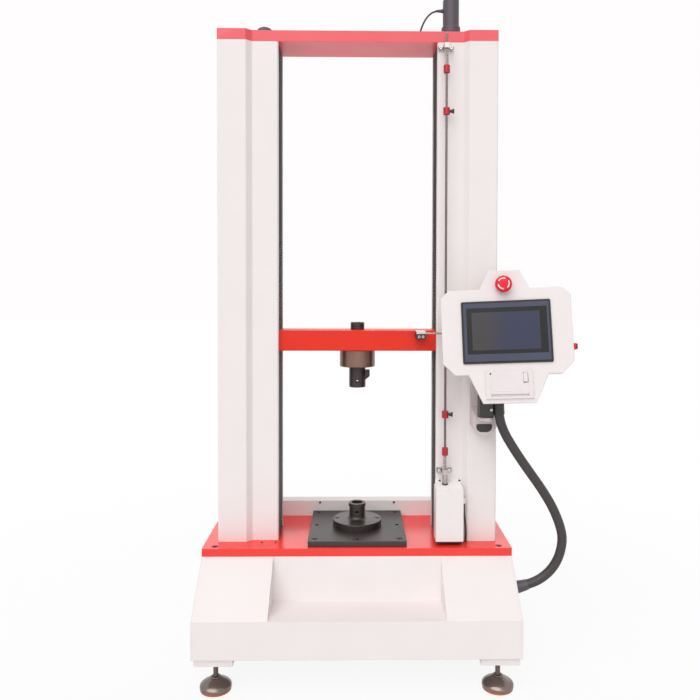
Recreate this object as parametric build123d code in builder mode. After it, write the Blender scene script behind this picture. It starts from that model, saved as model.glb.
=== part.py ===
from build123d import *
import os
from math import pi, radians, tan

os.makedirs("parts", exist_ok=True)

# Double-column floor-standing universal testing machine, in millimetres.
# X = Y = 0 is the load axis, Z = 0 the table plate's top face, -Y the operator's side.

# Driving dimensions
TEST_SPAN = 408.0        # clear width between the two column covers
TABLE_SIZE = 250.0       # square table plate
TABLE_T = 15.0
PLATE_W = 780.0          # red base plate
PLATE_T = 20.0
COLUMN_W = 154.0
COLUMN_H = 1283.0        # from base plate to top plate
TOP_T = 28.0
CROSSHEAD_Z = 475.0      # underside of the crosshead as photographed
CROSSHEAD_H = 53.0
BASE_H = 198.0           # base plate's underside down to the cabinet's underside
FOOT_H = 91.0            # cabinet's underside to the floor

# Shop values
SHEET = 3.0              # folded sheet metal
FIT = 0.05               # radial running fit
GAP = 0.5                # clearance between parts that don't touch
SLOT_GAP = 2.0           # crosshead to slot edge

# Heights
PLATE_TOP = -TABLE_T
PLATE_LOW = PLATE_TOP - PLATE_T
CAB_LOW = PLATE_LOW - BASE_H
FLOOR = CAB_LOW - FOOT_H
COLUMN_TOP = PLATE_TOP + COLUMN_H
TOP_FACE = COLUMN_TOP + TOP_T
CROSSHEAD_TOP = CROSSHEAD_Z + CROSSHEAD_H

# Plan
PLATE_HALF = PLATE_W / 2
PLATE_FRONT = -TABLE_SIZE / 2 - 9
PLATE_BACK = TABLE_SIZE / 2 + 1
CAB_FRONT = PLATE_FRONT - 124
CAB_BACK = PLATE_BACK + 38
BAND_TOP = CAB_LOW + 91
COL_IN = TEST_SPAN / 2
COL_OUT = COL_IN + COLUMN_W
JOG_OUT = COL_OUT - 73
JOG_IN = JOG_OUT - 14
COL_FRONT = -85.0
COL_INNER_FRONT = COL_FRONT + 13
COL_BACK = 50.0
SCREW_X = COL_IN + 43
POST_X = COL_OUT - 46


def block(x, y, z, mode=Mode.ADD):
    """Box between a low and a high value on each axis."""
    with Locations(((x[0] + x[1]) / 2, (y[0] + y[1]) / 2, (z[0] + z[1]) / 2)):
        Box(x[1] - x[0], y[1] - y[0], z[1] - z[0], mode=mode)


def disc(origin, radius, height, direction=(0, 0, 1), mode=Mode.ADD):
    """Cylinder that starts at origin and runs along direction."""
    with BuildSketch(Plane(origin=origin, z_dir=direction)) as end:
        Circle(radius)
    extrude(end.sketch, amount=height, mode=mode)


def turned(origin, profile):
    """Solid of revolution about a vertical axis; profile is (radius, height) points above origin."""
    with BuildSketch(Plane(origin=origin, x_dir=(1, 0, 0), z_dir=(0, -1, 0))) as half:
        with BuildLine():
            Polyline(*profile, close=True)
        make_face()
    revolve(half.sketch, axis=Axis(origin, (0, 0, 1)))


def slab(points, x_from, width, mode=Mode.ADD):
    """Side profile of (y, z) points extruded along +X from x_from."""
    with BuildSketch(Plane.YZ.offset(x_from)) as profile:
        with BuildLine():
            Polyline(*points, close=True)
        make_face()
    extrude(profile.sketch, amount=width, mode=mode)


def folded(points, x_from, width):
    """Open (y, z) path thickened to its right as folded sheet and extruded along +X."""
    path = [Vector(*p) for p in points]
    runs = [(b - a).normalized() for a, b in zip(path, path[1:])]
    sides = [Vector(r.Y, -r.X) for r in runs]
    inner = [path[0] + sides[0] * SHEET]
    for p, m, n in zip(path[1:], sides, sides[1:]):
        inner.append(p + (m + n) * (SHEET / (1 + m.dot(n))))
    inner.append(path[-1] + sides[-1] * SHEET)
    slab([(p.X, p.Y) for p in path + inner[::-1]], x_from, width)


def socket_screw(origin, radius, height, direction=(0, 0, 1)):
    """Socket-head screw head that stands on origin."""
    top = Vector(*origin) + Vector(*direction) * height
    disc(origin, radius, height, direction)
    with BuildSketch(Plane(origin=top, z_dir=direction)) as hexagon:
        RegularPolygon(radius * 0.52, 6)
    extrude(hexagon.sketch, amount=-height * 0.55, mode=Mode.SUBTRACT)


def cord(points, radius):
    """Tube of straight runs joined by large arcs; prints the radii, the length and the volume ratio."""
    radii = []
    for a, b, c in zip(points, points[1:], points[2:]):
        one, two = Vector(*b) - Vector(*a), Vector(*c) - Vector(*b)
        half = one.get_angle(two) / 2
        radii.append(0.45 * min(one.length, two.length) / tan(radians(half)))
    with BuildLine() as route:
        FilletPolyline(*points, radius=radii)
    with BuildSketch(Plane(origin=points[0], z_dir=Vector(*points[1]) - Vector(*points[0]))) as section:
        Circle(radius)
    tube = sweep(section.sketch, path=route.wires()[0])
    length = route.wires()[0].length
    ratio = tube.volume / (pi * radius**2 * length)
    print("radii", [round(r) for r in radii], "length", round(length, 1), "volume ratio", round(ratio, 4))


def finish(builder, label):
    """Names a finished sub-part and writes its file."""
    builder.part.label = label
    export_step(builder.part, f"parts/{label}.step")


# Base frame: floor pan, webs under the columns, cross members and foot blocks
FOOT_X = PLATE_HALF - 51
FOOT_Y = (CAB_FRONT + 43, CAB_BACK - 45)
FOOT_AT = [(x, y) for y in FOOT_Y for x in (-FOOT_X, FOOT_X)]
STUD_R = 6.0
PAN_T = 4.0
BLOCK_H = 19.0
WEB_X = POST_X - 7
CAB_HALF = PLATE_HALF - SHEET

with BuildPart() as base_frame:
    block((-CAB_HALF, CAB_HALF), (CAB_FRONT + SHEET, CAB_BACK - SHEET), (CAB_LOW, CAB_LOW + PAN_T))
    for side in (-1, 1):
        web = sorted((side * WEB_X, side * (WEB_X + 10)))
        block(web, (PLATE_FRONT + 16, PLATE_BACK - 6), (CAB_LOW + PAN_T, PLATE_LOW))
    for y in (PLATE_FRONT + 16, PLATE_BACK - 16):
        block((-WEB_X, WEB_X), (y, y + 10), (PLATE_LOW - 40, PLATE_LOW))
    for x, y in FOOT_AT:
        block((x - 46, x + 46), (y - 35, y + 35), (CAB_LOW - BLOCK_H, CAB_LOW))
    with Locations(*[(x, y, CAB_LOW + PAN_T) for x, y in FOOT_AT]):
        Hole(STUD_R + FIT, depth=BLOCK_H + PAN_T + 1)
finish(base_frame, "base_frame")

# Front cover: band, sloped cheeks and the niche between them
NICHE_HALF = COL_IN + 6.5
NICHE_BACK = PLATE_FRONT - 12
with BuildPart() as front_cover:
    folded(
        [(CAB_FRONT, CAB_LOW), (CAB_FRONT, BAND_TOP), (PLATE_FRONT, PLATE_LOW)],
        -CAB_HALF, 2 * CAB_HALF,
    )
    block(
        (-NICHE_HALF, NICHE_HALF), (CAB_FRONT - 1, PLATE_FRONT + 20), (BAND_TOP, PLATE_LOW + 1), Mode.SUBTRACT
    )
    ledge = (-NICHE_HALF - SHEET, NICHE_HALF + SHEET)
    block(ledge, (CAB_FRONT + SHEET, NICHE_BACK), (BAND_TOP - SHEET, BAND_TOP))
    slab(
        [
            (NICHE_BACK, BAND_TOP - SHEET), (NICHE_BACK, BAND_TOP), (PLATE_FRONT, PLATE_LOW),
            (PLATE_FRONT + SHEET, PLATE_LOW), (NICHE_BACK + SHEET, BAND_TOP - SHEET),
        ],
        -NICHE_HALF - SHEET, 2 * (NICHE_HALF + SHEET),
    )
    for x in (-NICHE_HALF - SHEET, NICHE_HALF):
        slab([(CAB_FRONT + 1, BAND_TOP), (PLATE_FRONT, PLATE_LOW), (NICHE_BACK, BAND_TOP)], x, SHEET)
finish(front_cover, "front_cover")

# Side panels close the cabinet's ends
with BuildPart() as side_panels:
    for x in (-PLATE_HALF, CAB_HALF):
        slab(
            [
                (CAB_FRONT, CAB_LOW), (CAB_FRONT, BAND_TOP), (PLATE_FRONT, PLATE_LOW),
                (CAB_BACK, PLATE_LOW), (CAB_BACK, CAB_LOW),
            ],
            x, SHEET,
        )
finish(side_panels, "side_panels")

# Rear cover with its upstand behind the base plate
UPSTAND_TOP = PLATE_TOP + 43
with BuildPart() as rear_cover:
    folded(
        [(PLATE_BACK, PLATE_LOW), (PLATE_BACK, UPSTAND_TOP), (CAB_BACK, UPSTAND_TOP), (CAB_BACK, CAB_LOW)],
        -CAB_HALF, 2 * CAB_HALF,
    )
    for x in (-PLATE_HALF, CAB_HALF):
        block(sorted((x, x + SHEET)), (PLATE_BACK, CAB_BACK), (PLATE_LOW, UPSTAND_TOP))
finish(rear_cover, "rear_cover")

# Red base plate
JOURNAL_R = 12.5
BOLT_Y = (PLATE_FRONT + 16, PLATE_BACK - 16)
BOLT_X = PLATE_HALF - 30.5
PLATE_BOLTS = [(x, y) for x in (-BOLT_X, BOLT_X) for y in BOLT_Y]
LIMIT_CABLE_AT = (JOG_IN + 8.5, COL_INNER_FRONT - 15.5)
LIMIT_CABLE_R = 2.5
ROD_Y = COL_INNER_FRONT - 24
with BuildPart() as base_plate:
    block((-PLATE_HALF, PLATE_HALF), (PLATE_FRONT, PLATE_BACK), (PLATE_LOW, PLATE_TOP))
    chamfer(base_plate.edges().filter_by(Axis.Z), 2)
    with Locations((-SCREW_X, 0, PLATE_TOP), (SCREW_X, 0, PLATE_TOP)):
        Hole(JOURNAL_R + 2)
    with Locations(*[(x, y, PLATE_TOP) for x, y in PLATE_BOLTS]):
        CounterBoreHole(5, 8.5, 9)
    with Locations((*LIMIT_CABLE_AT, PLATE_TOP)):
        Hole(LIMIT_CABLE_R + GAP)
finish(base_plate, "base_plate")

# Black table plate: holes along every side, four of them with sunk screws
HOLE_AT = TABLE_SIZE / 2 - 17
TABLE_HOLE_R = 5.25
with BuildPart() as table_plate:
    block((-TABLE_SIZE / 2, TABLE_SIZE / 2), (-TABLE_SIZE / 2, TABLE_SIZE / 2), (PLATE_TOP, 0))
    chamfer(table_plate.faces().sort_by(Axis.Z)[-1].edges(), 1)
    with PolarLocations(HOLE_AT, 4):
        Hole(TABLE_HOLE_R)
    with GridLocations(2 * HOLE_AT, 2 * HOLE_AT, 2, 2):
        CounterBoreHole(TABLE_HOLE_R, 8.5, 10)
    with Locations((-10, -HOLE_AT - 8, 0), (10, -HOLE_AT - 8, 0)):
        Hole(2.6, depth=8)
    with Locations((-54, 0, 0), (54, 0, 0)):
        Hole(4.25, depth=10)
finish(table_plate, "table_plate")

# Lower adapter: flange, flared foot, tube with collar, socket and cross pin hole
SOCKET_R = 15.0
ADAPTER_R = 21.0
FLANGE_R = 65.0
FLANGE_H = 19.0
LOWER_TOP = 62.0
PIN_R = 4.0
with BuildPart() as lower_adapter:
    turned(
        (0, 0, 0),
        [
            (SOCKET_R, FLANGE_H - 2), (0, FLANGE_H - 2), (0, 0), (FLANGE_R, 0), (FLANGE_R, FLANGE_H - 1.5),
            (FLANGE_R - 1.5, FLANGE_H), (ADAPTER_R + 7, FLANGE_H), (ADAPTER_R + 2.5, FLANGE_H + 2),
            (ADAPTER_R, FLANGE_H + 7), (ADAPTER_R, LOWER_TOP - 10), (ADAPTER_R + 2, LOWER_TOP - 9),
            (ADAPTER_R + 2, LOWER_TOP - 1), (ADAPTER_R + 1, LOWER_TOP), (SOCKET_R, LOWER_TOP),
        ],
    )
    disc((0, -40, FLANGE_H + 21), PIN_R, 80, (0, 1, 0), Mode.SUBTRACT)
    with Locations((-54, 0, FLANGE_H), (54, 0, FLANGE_H)):
        CounterBoreHole(4.5, 7.5, 8.5)
finish(lower_adapter, "lower_adapter")

# Screws of the base plate, the table plate and the flange
with BuildPart() as plate_screws:
    for x, y in PLATE_BOLTS:
        socket_screw((x, y, PLATE_TOP - 9), 8, 8)
    for x in (-HOLE_AT, HOLE_AT):
        for y in (-HOLE_AT, HOLE_AT):
            socket_screw((x, y, -10), 8, 9)
    for x in (-54, 54):
        socket_screw((x, 0, FLANGE_H - 8.5), 7, 8)
finish(plate_screws, "plate_screws")


def column_outline(side):
    """Plan of one column cover; side is -1 for left, 1 for right."""
    plan = [
        (COL_IN, COL_INNER_FRONT), (JOG_IN, COL_INNER_FRONT), (JOG_OUT, COL_FRONT),
        (COL_OUT, COL_FRONT), (COL_OUT, COL_BACK), (COL_IN, COL_BACK),
    ]
    return [(side * x, y) for x, y in plan]


def column_cover(side):
    """Hollow stepped cover, open on the inner side for the crosshead."""
    with BuildSketch(Plane.XY.offset(PLATE_TOP)) as plan:
        with BuildLine():
            Polyline(*column_outline(side), close=True)
        make_face()
        fillet(plan.vertices(), 4)
        offset(amount=-SHEET, mode=Mode.SUBTRACT)
    extrude(plan.sketch, amount=COLUMN_H)
    slot = sorted((side * (COL_IN - 1), side * (COL_IN + SHEET + 1)))
    block(slot, (SLOT_FRONT, SLOT_BACK), (PLATE_TOP, COLUMN_TOP), Mode.SUBTRACT)


# Column covers
CROSSHEAD_FRONT = COL_INNER_FRONT + 17
CROSSHEAD_BACK = COL_BACK - 8
SLOT_FRONT = CROSSHEAD_FRONT - SLOT_GAP
SLOT_BACK = CROSSHEAD_BACK + SLOT_GAP
with BuildPart() as left_column_cover:
    column_cover(-1)
finish(left_column_cover, "left_column_cover")
with BuildPart() as right_column_cover:
    column_cover(1)
finish(right_column_cover, "right_column_cover")

# Guide posts
POST_R = 20.0
with BuildPart() as guide_posts:
    for x in (-POST_X, POST_X):
        disc((x, 0, PLATE_TOP), POST_R, COLUMN_H)
finish(guide_posts, "guide_posts")


def bellows(z_low, z_high, pitch):
    """Pleated strips in both slots between two heights."""
    count = round((z_high - z_low) / pitch)
    step = (z_high - z_low) / count / 2
    front = [(COL_IN + (0.5 if i % 2 else 6), z_low + i * step) for i in range(2 * count + 1)]
    back = [(x + 2.5, z) for x, z in reversed(front)]
    for side in (-1, 1):
        with BuildSketch(Plane.XZ.offset(-CROSSHEAD_BACK + 1)) as pleats:
            with BuildLine():
                Polyline(*[(side * x, z) for x, z in front + back], close=True)
            make_face()
        extrude(pleats.sketch, amount=CROSSHEAD_BACK - CROSSHEAD_FRONT - 2)


# Bellows above and below the crosshead
PLEAT = 13.0
with BuildPart() as upper_bellows:
    bellows(CROSSHEAD_TOP, COLUMN_TOP, PLEAT)
finish(upper_bellows, "upper_bellows")
with BuildPart() as lower_bellows:
    bellows(PLATE_TOP, CROSSHEAD_Z, PLEAT)
finish(lower_bellows, "lower_bellows")

# Red top plate, its front edge stepped like the columns
CABLE_HOLE_X = SCREW_X - 87
CABLE_R = 2.4
with BuildPart() as top_plate:
    with BuildSketch(Plane.XY.offset(COLUMN_TOP)):
        with BuildLine():
            right = [
                (JOG_IN, COL_INNER_FRONT), (JOG_OUT, COL_FRONT), (COL_OUT, COL_FRONT), (COL_OUT, COL_BACK),
            ]
            left = [(-x, y) for x, y in reversed(right)]
            Polyline(*right, *left, close=True)
        make_face()
    extrude(amount=TOP_T)
    chamfer(top_plate.edges().filter_by(Axis.Z), 1.5)
    with Locations((-SCREW_X, 0, TOP_FACE), (SCREW_X, 0, TOP_FACE)):
        Hole(JOURNAL_R + FIT)
    with Locations((CABLE_HOLE_X, 0, TOP_FACE)):
        Hole(CABLE_R + GAP, depth=10)
finish(top_plate, "top_plate")

# Lower bearing housings of the ball screws
BEARING_H = 26.0
with BuildPart() as screw_bearings:
    for x in (-SCREW_X, SCREW_X):
        disc((x, 0, PLATE_TOP), 33, BEARING_H)
        disc((x, 0, PLATE_TOP), JOURNAL_R + FIT, BEARING_H, mode=Mode.SUBTRACT)
finish(screw_bearings, "screw_bearings")

# Dome cap over the left screw
JOURNAL_TOP = TOP_FACE + 18
with BuildPart() as bearing_cap:
    turned(
        (-SCREW_X, 0, TOP_FACE),
        [
            (14, 0), (22, 0), (22, 18), (20.5, 23.5), (17, 27.8), (11.5, 30.6), (5, 31.5), (0, 31.5),
            (0, 21), (14, 21),
        ],
    )
finish(bearing_cap, "bearing_cap")

# Rotary encoder over the right screw, with the cable's strain relief
ENCODER_H = 118.0
CABLE_Z = TOP_FACE + 79
with BuildPart() as encoder:
    turned(
        (SCREW_X, 0, TOP_FACE),
        [
            (14, 0), (25, 0), (25, 33), (24, 35), (21.5, 35), (21.5, ENCODER_H - 13), (20, ENCODER_H - 11),
            (18, ENCODER_H - 11), (18, ENCODER_H - 1.5), (16.5, ENCODER_H), (0, ENCODER_H), (0, 22), (14, 22),
        ],
    )
    disc((SCREW_X - 20, 0, CABLE_Z), 4, 6, (-1, 0, 0))
finish(encoder, "encoder")

CABLE_START = (SCREW_X - 26, 0, CABLE_Z)
ENCODER_ROUTE = [
    CABLE_START,
    (SCREW_X - 43, 0, CABLE_Z),
    (SCREW_X - 60, 0, CABLE_Z - 11),
    (SCREW_X - 73, 0, CABLE_Z - 31),
    (SCREW_X - 82, 0, CABLE_Z - 55),
    (CABLE_HOLE_X, 0, TOP_FACE - 1),
]
with BuildPart() as encoder_cable:
    cord(ENCODER_ROUTE, CABLE_R)
finish(encoder_cable, "encoder_cable")

# Drive: motor with its pulley, belt and the two screws with theirs
PULLEY_R = 45.0
MOTOR_PULLEY_R = 30.0
MOTOR_HALF = 55.0
MOTOR_H = 130.0
MOTOR_Y = PLATE_BACK - 16 - MOTOR_HALF - 10
BELT_W = 19.0
BELT_T = 4.0
PULLEY_Z = CAB_LOW + 28
PULLEY_H = BELT_W + 6
with BuildPart() as drive_motor:
    motor_y = (MOTOR_Y - MOTOR_HALF, MOTOR_Y + MOTOR_HALF)
    block((-MOTOR_HALF, MOTOR_HALF), motor_y, (PLATE_LOW - MOTOR_H, PLATE_LOW))
    chamfer(drive_motor.edges().filter_by(Axis.Z), 8)
    disc((0, MOTOR_Y, PULLEY_Z), 9.5, PLATE_LOW - MOTOR_H - PULLEY_Z)
    disc((0, MOTOR_Y, PULLEY_Z), MOTOR_PULLEY_R, PULLEY_H)
finish(drive_motor, "drive_motor")


def belt_loop(gap, mode=Mode.ADD):
    """Taut loop round the three pulleys at a distance from their rims."""
    with BuildSketch(Plane.XY.offset(PULLEY_Z + 3)) as plan:
        for x, y, r in ((-SCREW_X, 0, PULLEY_R), (SCREW_X, 0, PULLEY_R), (0, MOTOR_Y, MOTOR_PULLEY_R)):
            with Locations((x, y)):
                Circle(r + gap)
        make_hull(plan.edges())
    extrude(plan.sketch, amount=BELT_W, mode=mode)


with BuildPart() as drive_belt:
    belt_loop(GAP + BELT_T)
    belt_loop(GAP, Mode.SUBTRACT)
finish(drive_belt, "drive_belt")

SCREW_R = 16.0
THREAD_LOW = PLATE_TOP + BEARING_H + 1
THREAD_TOP = COLUMN_TOP - 20


def ball_screw(x):
    """Ground shaft with end journals and the toothed pulley at its foot."""
    disc((x, 0, PULLEY_Z), JOURNAL_R, JOURNAL_TOP - PULLEY_Z)
    disc((x, 0, THREAD_LOW), SCREW_R, THREAD_TOP - THREAD_LOW)
    disc((x, 0, PULLEY_Z), PULLEY_R, PULLEY_H)
    for z in (PULLEY_Z, PULLEY_Z + PULLEY_H - 2):
        disc((x, 0, z), PULLEY_R + 6, 2)


with BuildPart() as left_ball_screw:
    ball_screw(-SCREW_X)
finish(left_ball_screw, "left_ball_screw")
with BuildPart() as right_ball_screw:
    ball_screw(SCREW_X)
finish(right_ball_screw, "right_ball_screw")

# Drive electronics under the niche ledge
with BuildPart() as control_unit:
    block((-180, 180), (CAB_FRONT + 12, NICHE_BACK - 8), (CAB_LOW + PAN_T, BAND_TOP - 12))
    for x in range(-165, 166, 30):
        fins = (CAB_FRONT + 20, NICHE_BACK - 16)
        block((x - 4, x + 4), fins, (BAND_TOP - 15, BAND_TOP - 11), Mode.SUBTRACT)
finish(control_unit, "control_unit")

# Crosshead and what is bolted to it
CROSSHEAD_HALF = COL_OUT - 13
NUT_R = 24.0
BUSH_R = 26.0
BOLT_R = 10.0
with BuildPart() as crosshead:
    block(
        (-CROSSHEAD_HALF, CROSSHEAD_HALF), (CROSSHEAD_FRONT, CROSSHEAD_BACK), (CROSSHEAD_Z, CROSSHEAD_TOP)
    )
    chamfer(crosshead.edges().filter_by(Axis.X), 1.5)
    with Locations((-SCREW_X, 0, CROSSHEAD_TOP), (SCREW_X, 0, CROSSHEAD_TOP)):
        Hole(NUT_R + FIT)
    with Locations((-POST_X, 0, CROSSHEAD_TOP), (POST_X, 0, CROSSHEAD_TOP)):
        Hole(BUSH_R + FIT)
    with Locations((0, 0, CROSSHEAD_TOP)):
        Hole(BOLT_R + GAP)
finish(crosshead, "crosshead")

with BuildPart() as nuts_and_bushes:
    for x, shaft_r, body_r in ((SCREW_X, SCREW_R, NUT_R), (POST_X, POST_R, BUSH_R)):
        for at in (-x, x):
            disc((at, 0, CROSSHEAD_Z - 10), 30, 10)
            disc((at, 0, CROSSHEAD_Z), body_r, CROSSHEAD_H - 5)
            disc((at, 0, CROSSHEAD_Z - 10), shaft_r + FIT, CROSSHEAD_H + 10, mode=Mode.SUBTRACT)
finish(nuts_and_bushes, "nuts_and_bushes")

CELL_R = 47.0
CELL_H = 45.5
CELL_LOW = CROSSHEAD_Z - CELL_H
with BuildPart() as load_cell:
    turned(
        (0, 0, CELL_LOW),
        [
            (0, 0), (CELL_R - 1.5, 0), (CELL_R, 1.5), (CELL_R, CELL_H - 1.5), (CELL_R - 1.5, CELL_H),
            (0, CELL_H),
        ],
    )
    block((-11, 11), (30, CELL_R + 3), (CELL_LOW + 13, CELL_LOW + 33))
    disc((0, CELL_R + 3, CELL_LOW + 23), 7.5, 6, (0, 1, 0))
    disc((0, CELL_R + 9, CELL_LOW + 23), 6, 5, (0, 1, 0))
finish(load_cell, "load_cell")

BOLT_HEAD_H = 19.5
with BuildPart() as load_cell_bolt:
    disc((0, 0, CELL_LOW + CELL_H), BOLT_R, CROSSHEAD_H)
    disc((0, 0, CROSSHEAD_TOP), 18.5, BOLT_HEAD_H)
    chamfer(load_cell_bolt.faces().sort_by(Axis.Z)[-1].edges(), 1.5)
    with BuildSketch(Plane.XY.offset(CROSSHEAD_TOP + BOLT_HEAD_H)):
        RegularPolygon(9.8, 6)
    extrude(amount=-11, mode=Mode.SUBTRACT)
finish(load_cell_bolt, "load_cell_bolt")

# Upper adapter: socket, cross pin hole and a lug with a sloped lower side
UPPER_LOW = 374.0
UPPER_R = ADAPTER_R + 1
LUG_OUT = 33.0
with BuildPart() as upper_adapter:
    disc((0, 0, UPPER_LOW), UPPER_R, CELL_LOW - UPPER_LOW)
    chamfer(upper_adapter.faces().sort_by(Axis.Z)[0].edges(), 1)
    with BuildSketch(Plane.XZ.offset(-8)):
        with BuildLine():
            Polyline(
                (UPPER_R - 6, UPPER_LOW + 20), (UPPER_R, UPPER_LOW + 20), (LUG_OUT, UPPER_LOW + 29),
                (LUG_OUT, UPPER_LOW + 46), (UPPER_R - 6, UPPER_LOW + 46), close=True,
            )
        make_face()
    extrude(amount=16)
    disc((0, 0, UPPER_LOW), SOCKET_R, 42, mode=Mode.SUBTRACT)
    disc((0, -40, UPPER_LOW + 16), PIN_R, 80, (0, 1, 0), Mode.SUBTRACT)
finish(upper_adapter, "upper_adapter")

# Limit rod and the pieces that ride on it
ROD_X = 224.5
ROD_R = 3.0
COLLAR_R = 8.0
FIXED_H = 20.0
UPPER_FIXED = 1183.0
LOWER_FIXED = 211.0
ROD_LOW = LOWER_FIXED - 91
ROD_TOP = UPPER_FIXED + 100
with BuildPart() as limit_rod:
    disc((ROD_X, ROD_Y, ROD_LOW), ROD_R, ROD_TOP - ROD_LOW)
    chamfer(limit_rod.faces().sort_by(Axis.Z)[-1].edges(), 0.8)
finish(limit_rod, "limit_rod")


def collar(z, height, radius):
    """Ring on the limit rod with its edges broken."""
    turned(
        (ROD_X, ROD_Y, z),
        [
            (ROD_R + FIT, 0), (radius - 1, 0), (radius, 1), (radius, height - 1),
            (radius - 1, height), (ROD_R + FIT, height),
        ],
    )


with BuildPart() as rod_collars:
    collar(UPPER_FIXED, FIXED_H, COLLAR_R)
    collar(LOWER_FIXED, FIXED_H, COLLAR_R)
finish(rod_collars, "rod_collars")

STOP_H = 18.0
STOP_R = 8.5
UPPER_STOP = 1078.0
LOWER_STOP = 307.0
THUMB_R = 2.5


def stop_collar(z):
    """Adjustable collar with a hole for its thumbscrew."""
    collar(z, STOP_H, STOP_R)
    disc((ROD_X + ROD_R, ROD_Y, z + STOP_H / 2), THUMB_R + FIT, 10, (1, 0, 0), Mode.SUBTRACT)


def thumbscrew(z):
    """Shank, thin stem and flared head along +X."""
    origin = (ROD_X, ROD_Y, z)
    with BuildSketch(Plane(origin=origin, x_dir=(1, 0, 0), z_dir=(0, -1, 0))) as half:
        with BuildLine():
            Polyline(
                (ROD_R + 1, 0), (ROD_R + 1, THUMB_R), (STOP_R, THUMB_R), (STOP_R, 1.6),
                (STOP_R + 4.5, 1.6), (STOP_R + 4.5, 2.5), (STOP_R + 12, 6.5), (STOP_R + 14, 6.5),
                (STOP_R + 15, 5), (STOP_R + 15, 0), close=True,
            )
        make_face()
    revolve(half.sketch, axis=Axis(origin, (1, 0, 0)))


with BuildPart() as upper_stop_collar:
    stop_collar(UPPER_STOP)
finish(upper_stop_collar, "upper_stop_collar")
with BuildPart() as lower_stop_collar:
    stop_collar(LOWER_STOP)
finish(lower_stop_collar, "lower_stop_collar")
with BuildPart() as upper_thumbscrew:
    thumbscrew(UPPER_STOP + STOP_H / 2)
finish(upper_thumbscrew, "upper_thumbscrew")
with BuildPart() as lower_thumbscrew:
    thumbscrew(LOWER_STOP + STOP_H / 2)
finish(lower_thumbscrew, "lower_thumbscrew")

# Trip bracket and rod: the rod passes just behind the limit rod and meets the stop collars
TRIP_Y = ROD_Y + ROD_R + THUMB_R + 1.3
TRIP_Z = CROSSHEAD_TOP - 5
TRIP_X = (150.0, 175.0)
TRIP_IN = TRIP_X[1] - 14
with BuildPart() as trip_bracket:
    block(TRIP_X, (TRIP_Y - 6, CROSSHEAD_FRONT), (CROSSHEAD_TOP - 20, CROSSHEAD_TOP - 0.5))
    chamfer(trip_bracket.edges().filter_by(Axis.Z), 1)
    slab(
        [(TRIP_Y - 6.1, CROSSHEAD_TOP - 6), (TRIP_Y - 0.6, CROSSHEAD_TOP), (TRIP_Y - 6.1, CROSSHEAD_TOP)],
        TRIP_X[0] - 1, TRIP_X[1] - TRIP_X[0] + 2, Mode.SUBTRACT,
    )
    disc((TRIP_IN, TRIP_Y, TRIP_Z), 2.5, 20, (1, 0, 0), Mode.SUBTRACT)
    for x in (TRIP_X[0] + 7, TRIP_X[1] - 8):
        socket_screw((x, TRIP_Y - 6, CROSSHEAD_TOP - 13.5), 3.2, 3, (0, -1, 0))
finish(trip_bracket, "trip_bracket")

with BuildPart() as trip_rod:
    disc((TRIP_IN, TRIP_Y, TRIP_Z), 2.45, ROD_X + 11 - TRIP_IN, (1, 0, 0))
    fillet(trip_rod.faces().sort_by(Axis.X)[-1].edges(), 2)
finish(trip_rod, "trip_rod")

# Rod guides on the right column
GUIDE_H = 13.0
BRACKET_Z = UPPER_FIXED + FIXED_H + 42
CLAMP_Z = LOWER_FIXED - 36 - GUIDE_H
BOX_TOP = CLAMP_Z - 31
FLANGE_FRONT = COL_INNER_FRONT - 5
with BuildPart() as rod_guides:
    for z in (BRACKET_Z, CLAMP_Z):
        block((ROD_X - 7, ROD_X + 7), (ROD_Y - 8, FLANGE_FRONT), (z, z + GUIDE_H))
        block((ROD_X - 20, ROD_X + 20), (FLANGE_FRONT, COL_INNER_FRONT), (z, z + GUIDE_H))
    fillet(rod_guides.edges().filter_by(Axis.Z), 1.5)
    disc((ROD_X, ROD_Y, BOX_TOP), 6, CLAMP_Z - BOX_TOP)
    disc((ROD_X, ROD_Y, BOX_TOP), ROD_R + FIT, ROD_TOP, mode=Mode.SUBTRACT)
finish(rod_guides, "rod_guides")

SPRING_R = 4.6
with BuildPart() as rod_springs:
    for low, high in ((UPPER_FIXED + FIXED_H, BRACKET_Z), (CLAMP_Z + GUIDE_H, LOWER_FIXED)):
        disc((ROD_X, ROD_Y, low), SPRING_R, high - low)
        disc((ROD_X, ROD_Y, low), SPRING_R - 1, high - low, mode=Mode.SUBTRACT)
finish(rod_springs, "rod_springs")

# Limit switch box under the rod, with its cable
BOX_X = (COL_IN - 5, JOG_IN - 1)
BOX_LOW = PLATE_TOP + 11
CABLE_EXIT_Z = BOX_LOW + 88
BOX_FRONT = COL_INNER_FRONT - 48
with BuildPart() as limit_switch_box:
    block(BOX_X, (BOX_FRONT, COL_INNER_FRONT), (BOX_LOW, BOX_TOP))
    fillet(limit_switch_box.edges().filter_by(Axis.Z), 3)
    block(
        (BOX_X[0] + SHEET, BOX_X[1] - SHEET), (BOX_FRONT + SHEET, COL_INNER_FRONT - SHEET),
        (BOX_LOW + SHEET, BOX_TOP - SHEET), Mode.SUBTRACT,
    )
    disc((ROD_X, ROD_Y, BOX_TOP - SHEET), ROD_R + GAP, SHEET, mode=Mode.SUBTRACT)
    block((BOX_X[1] - 1, BOX_X[1] + 10), (ROD_Y + 6, ROD_Y + 14), (CABLE_EXIT_Z, CABLE_EXIT_Z + 14))
finish(limit_switch_box, "limit_switch_box")

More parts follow.
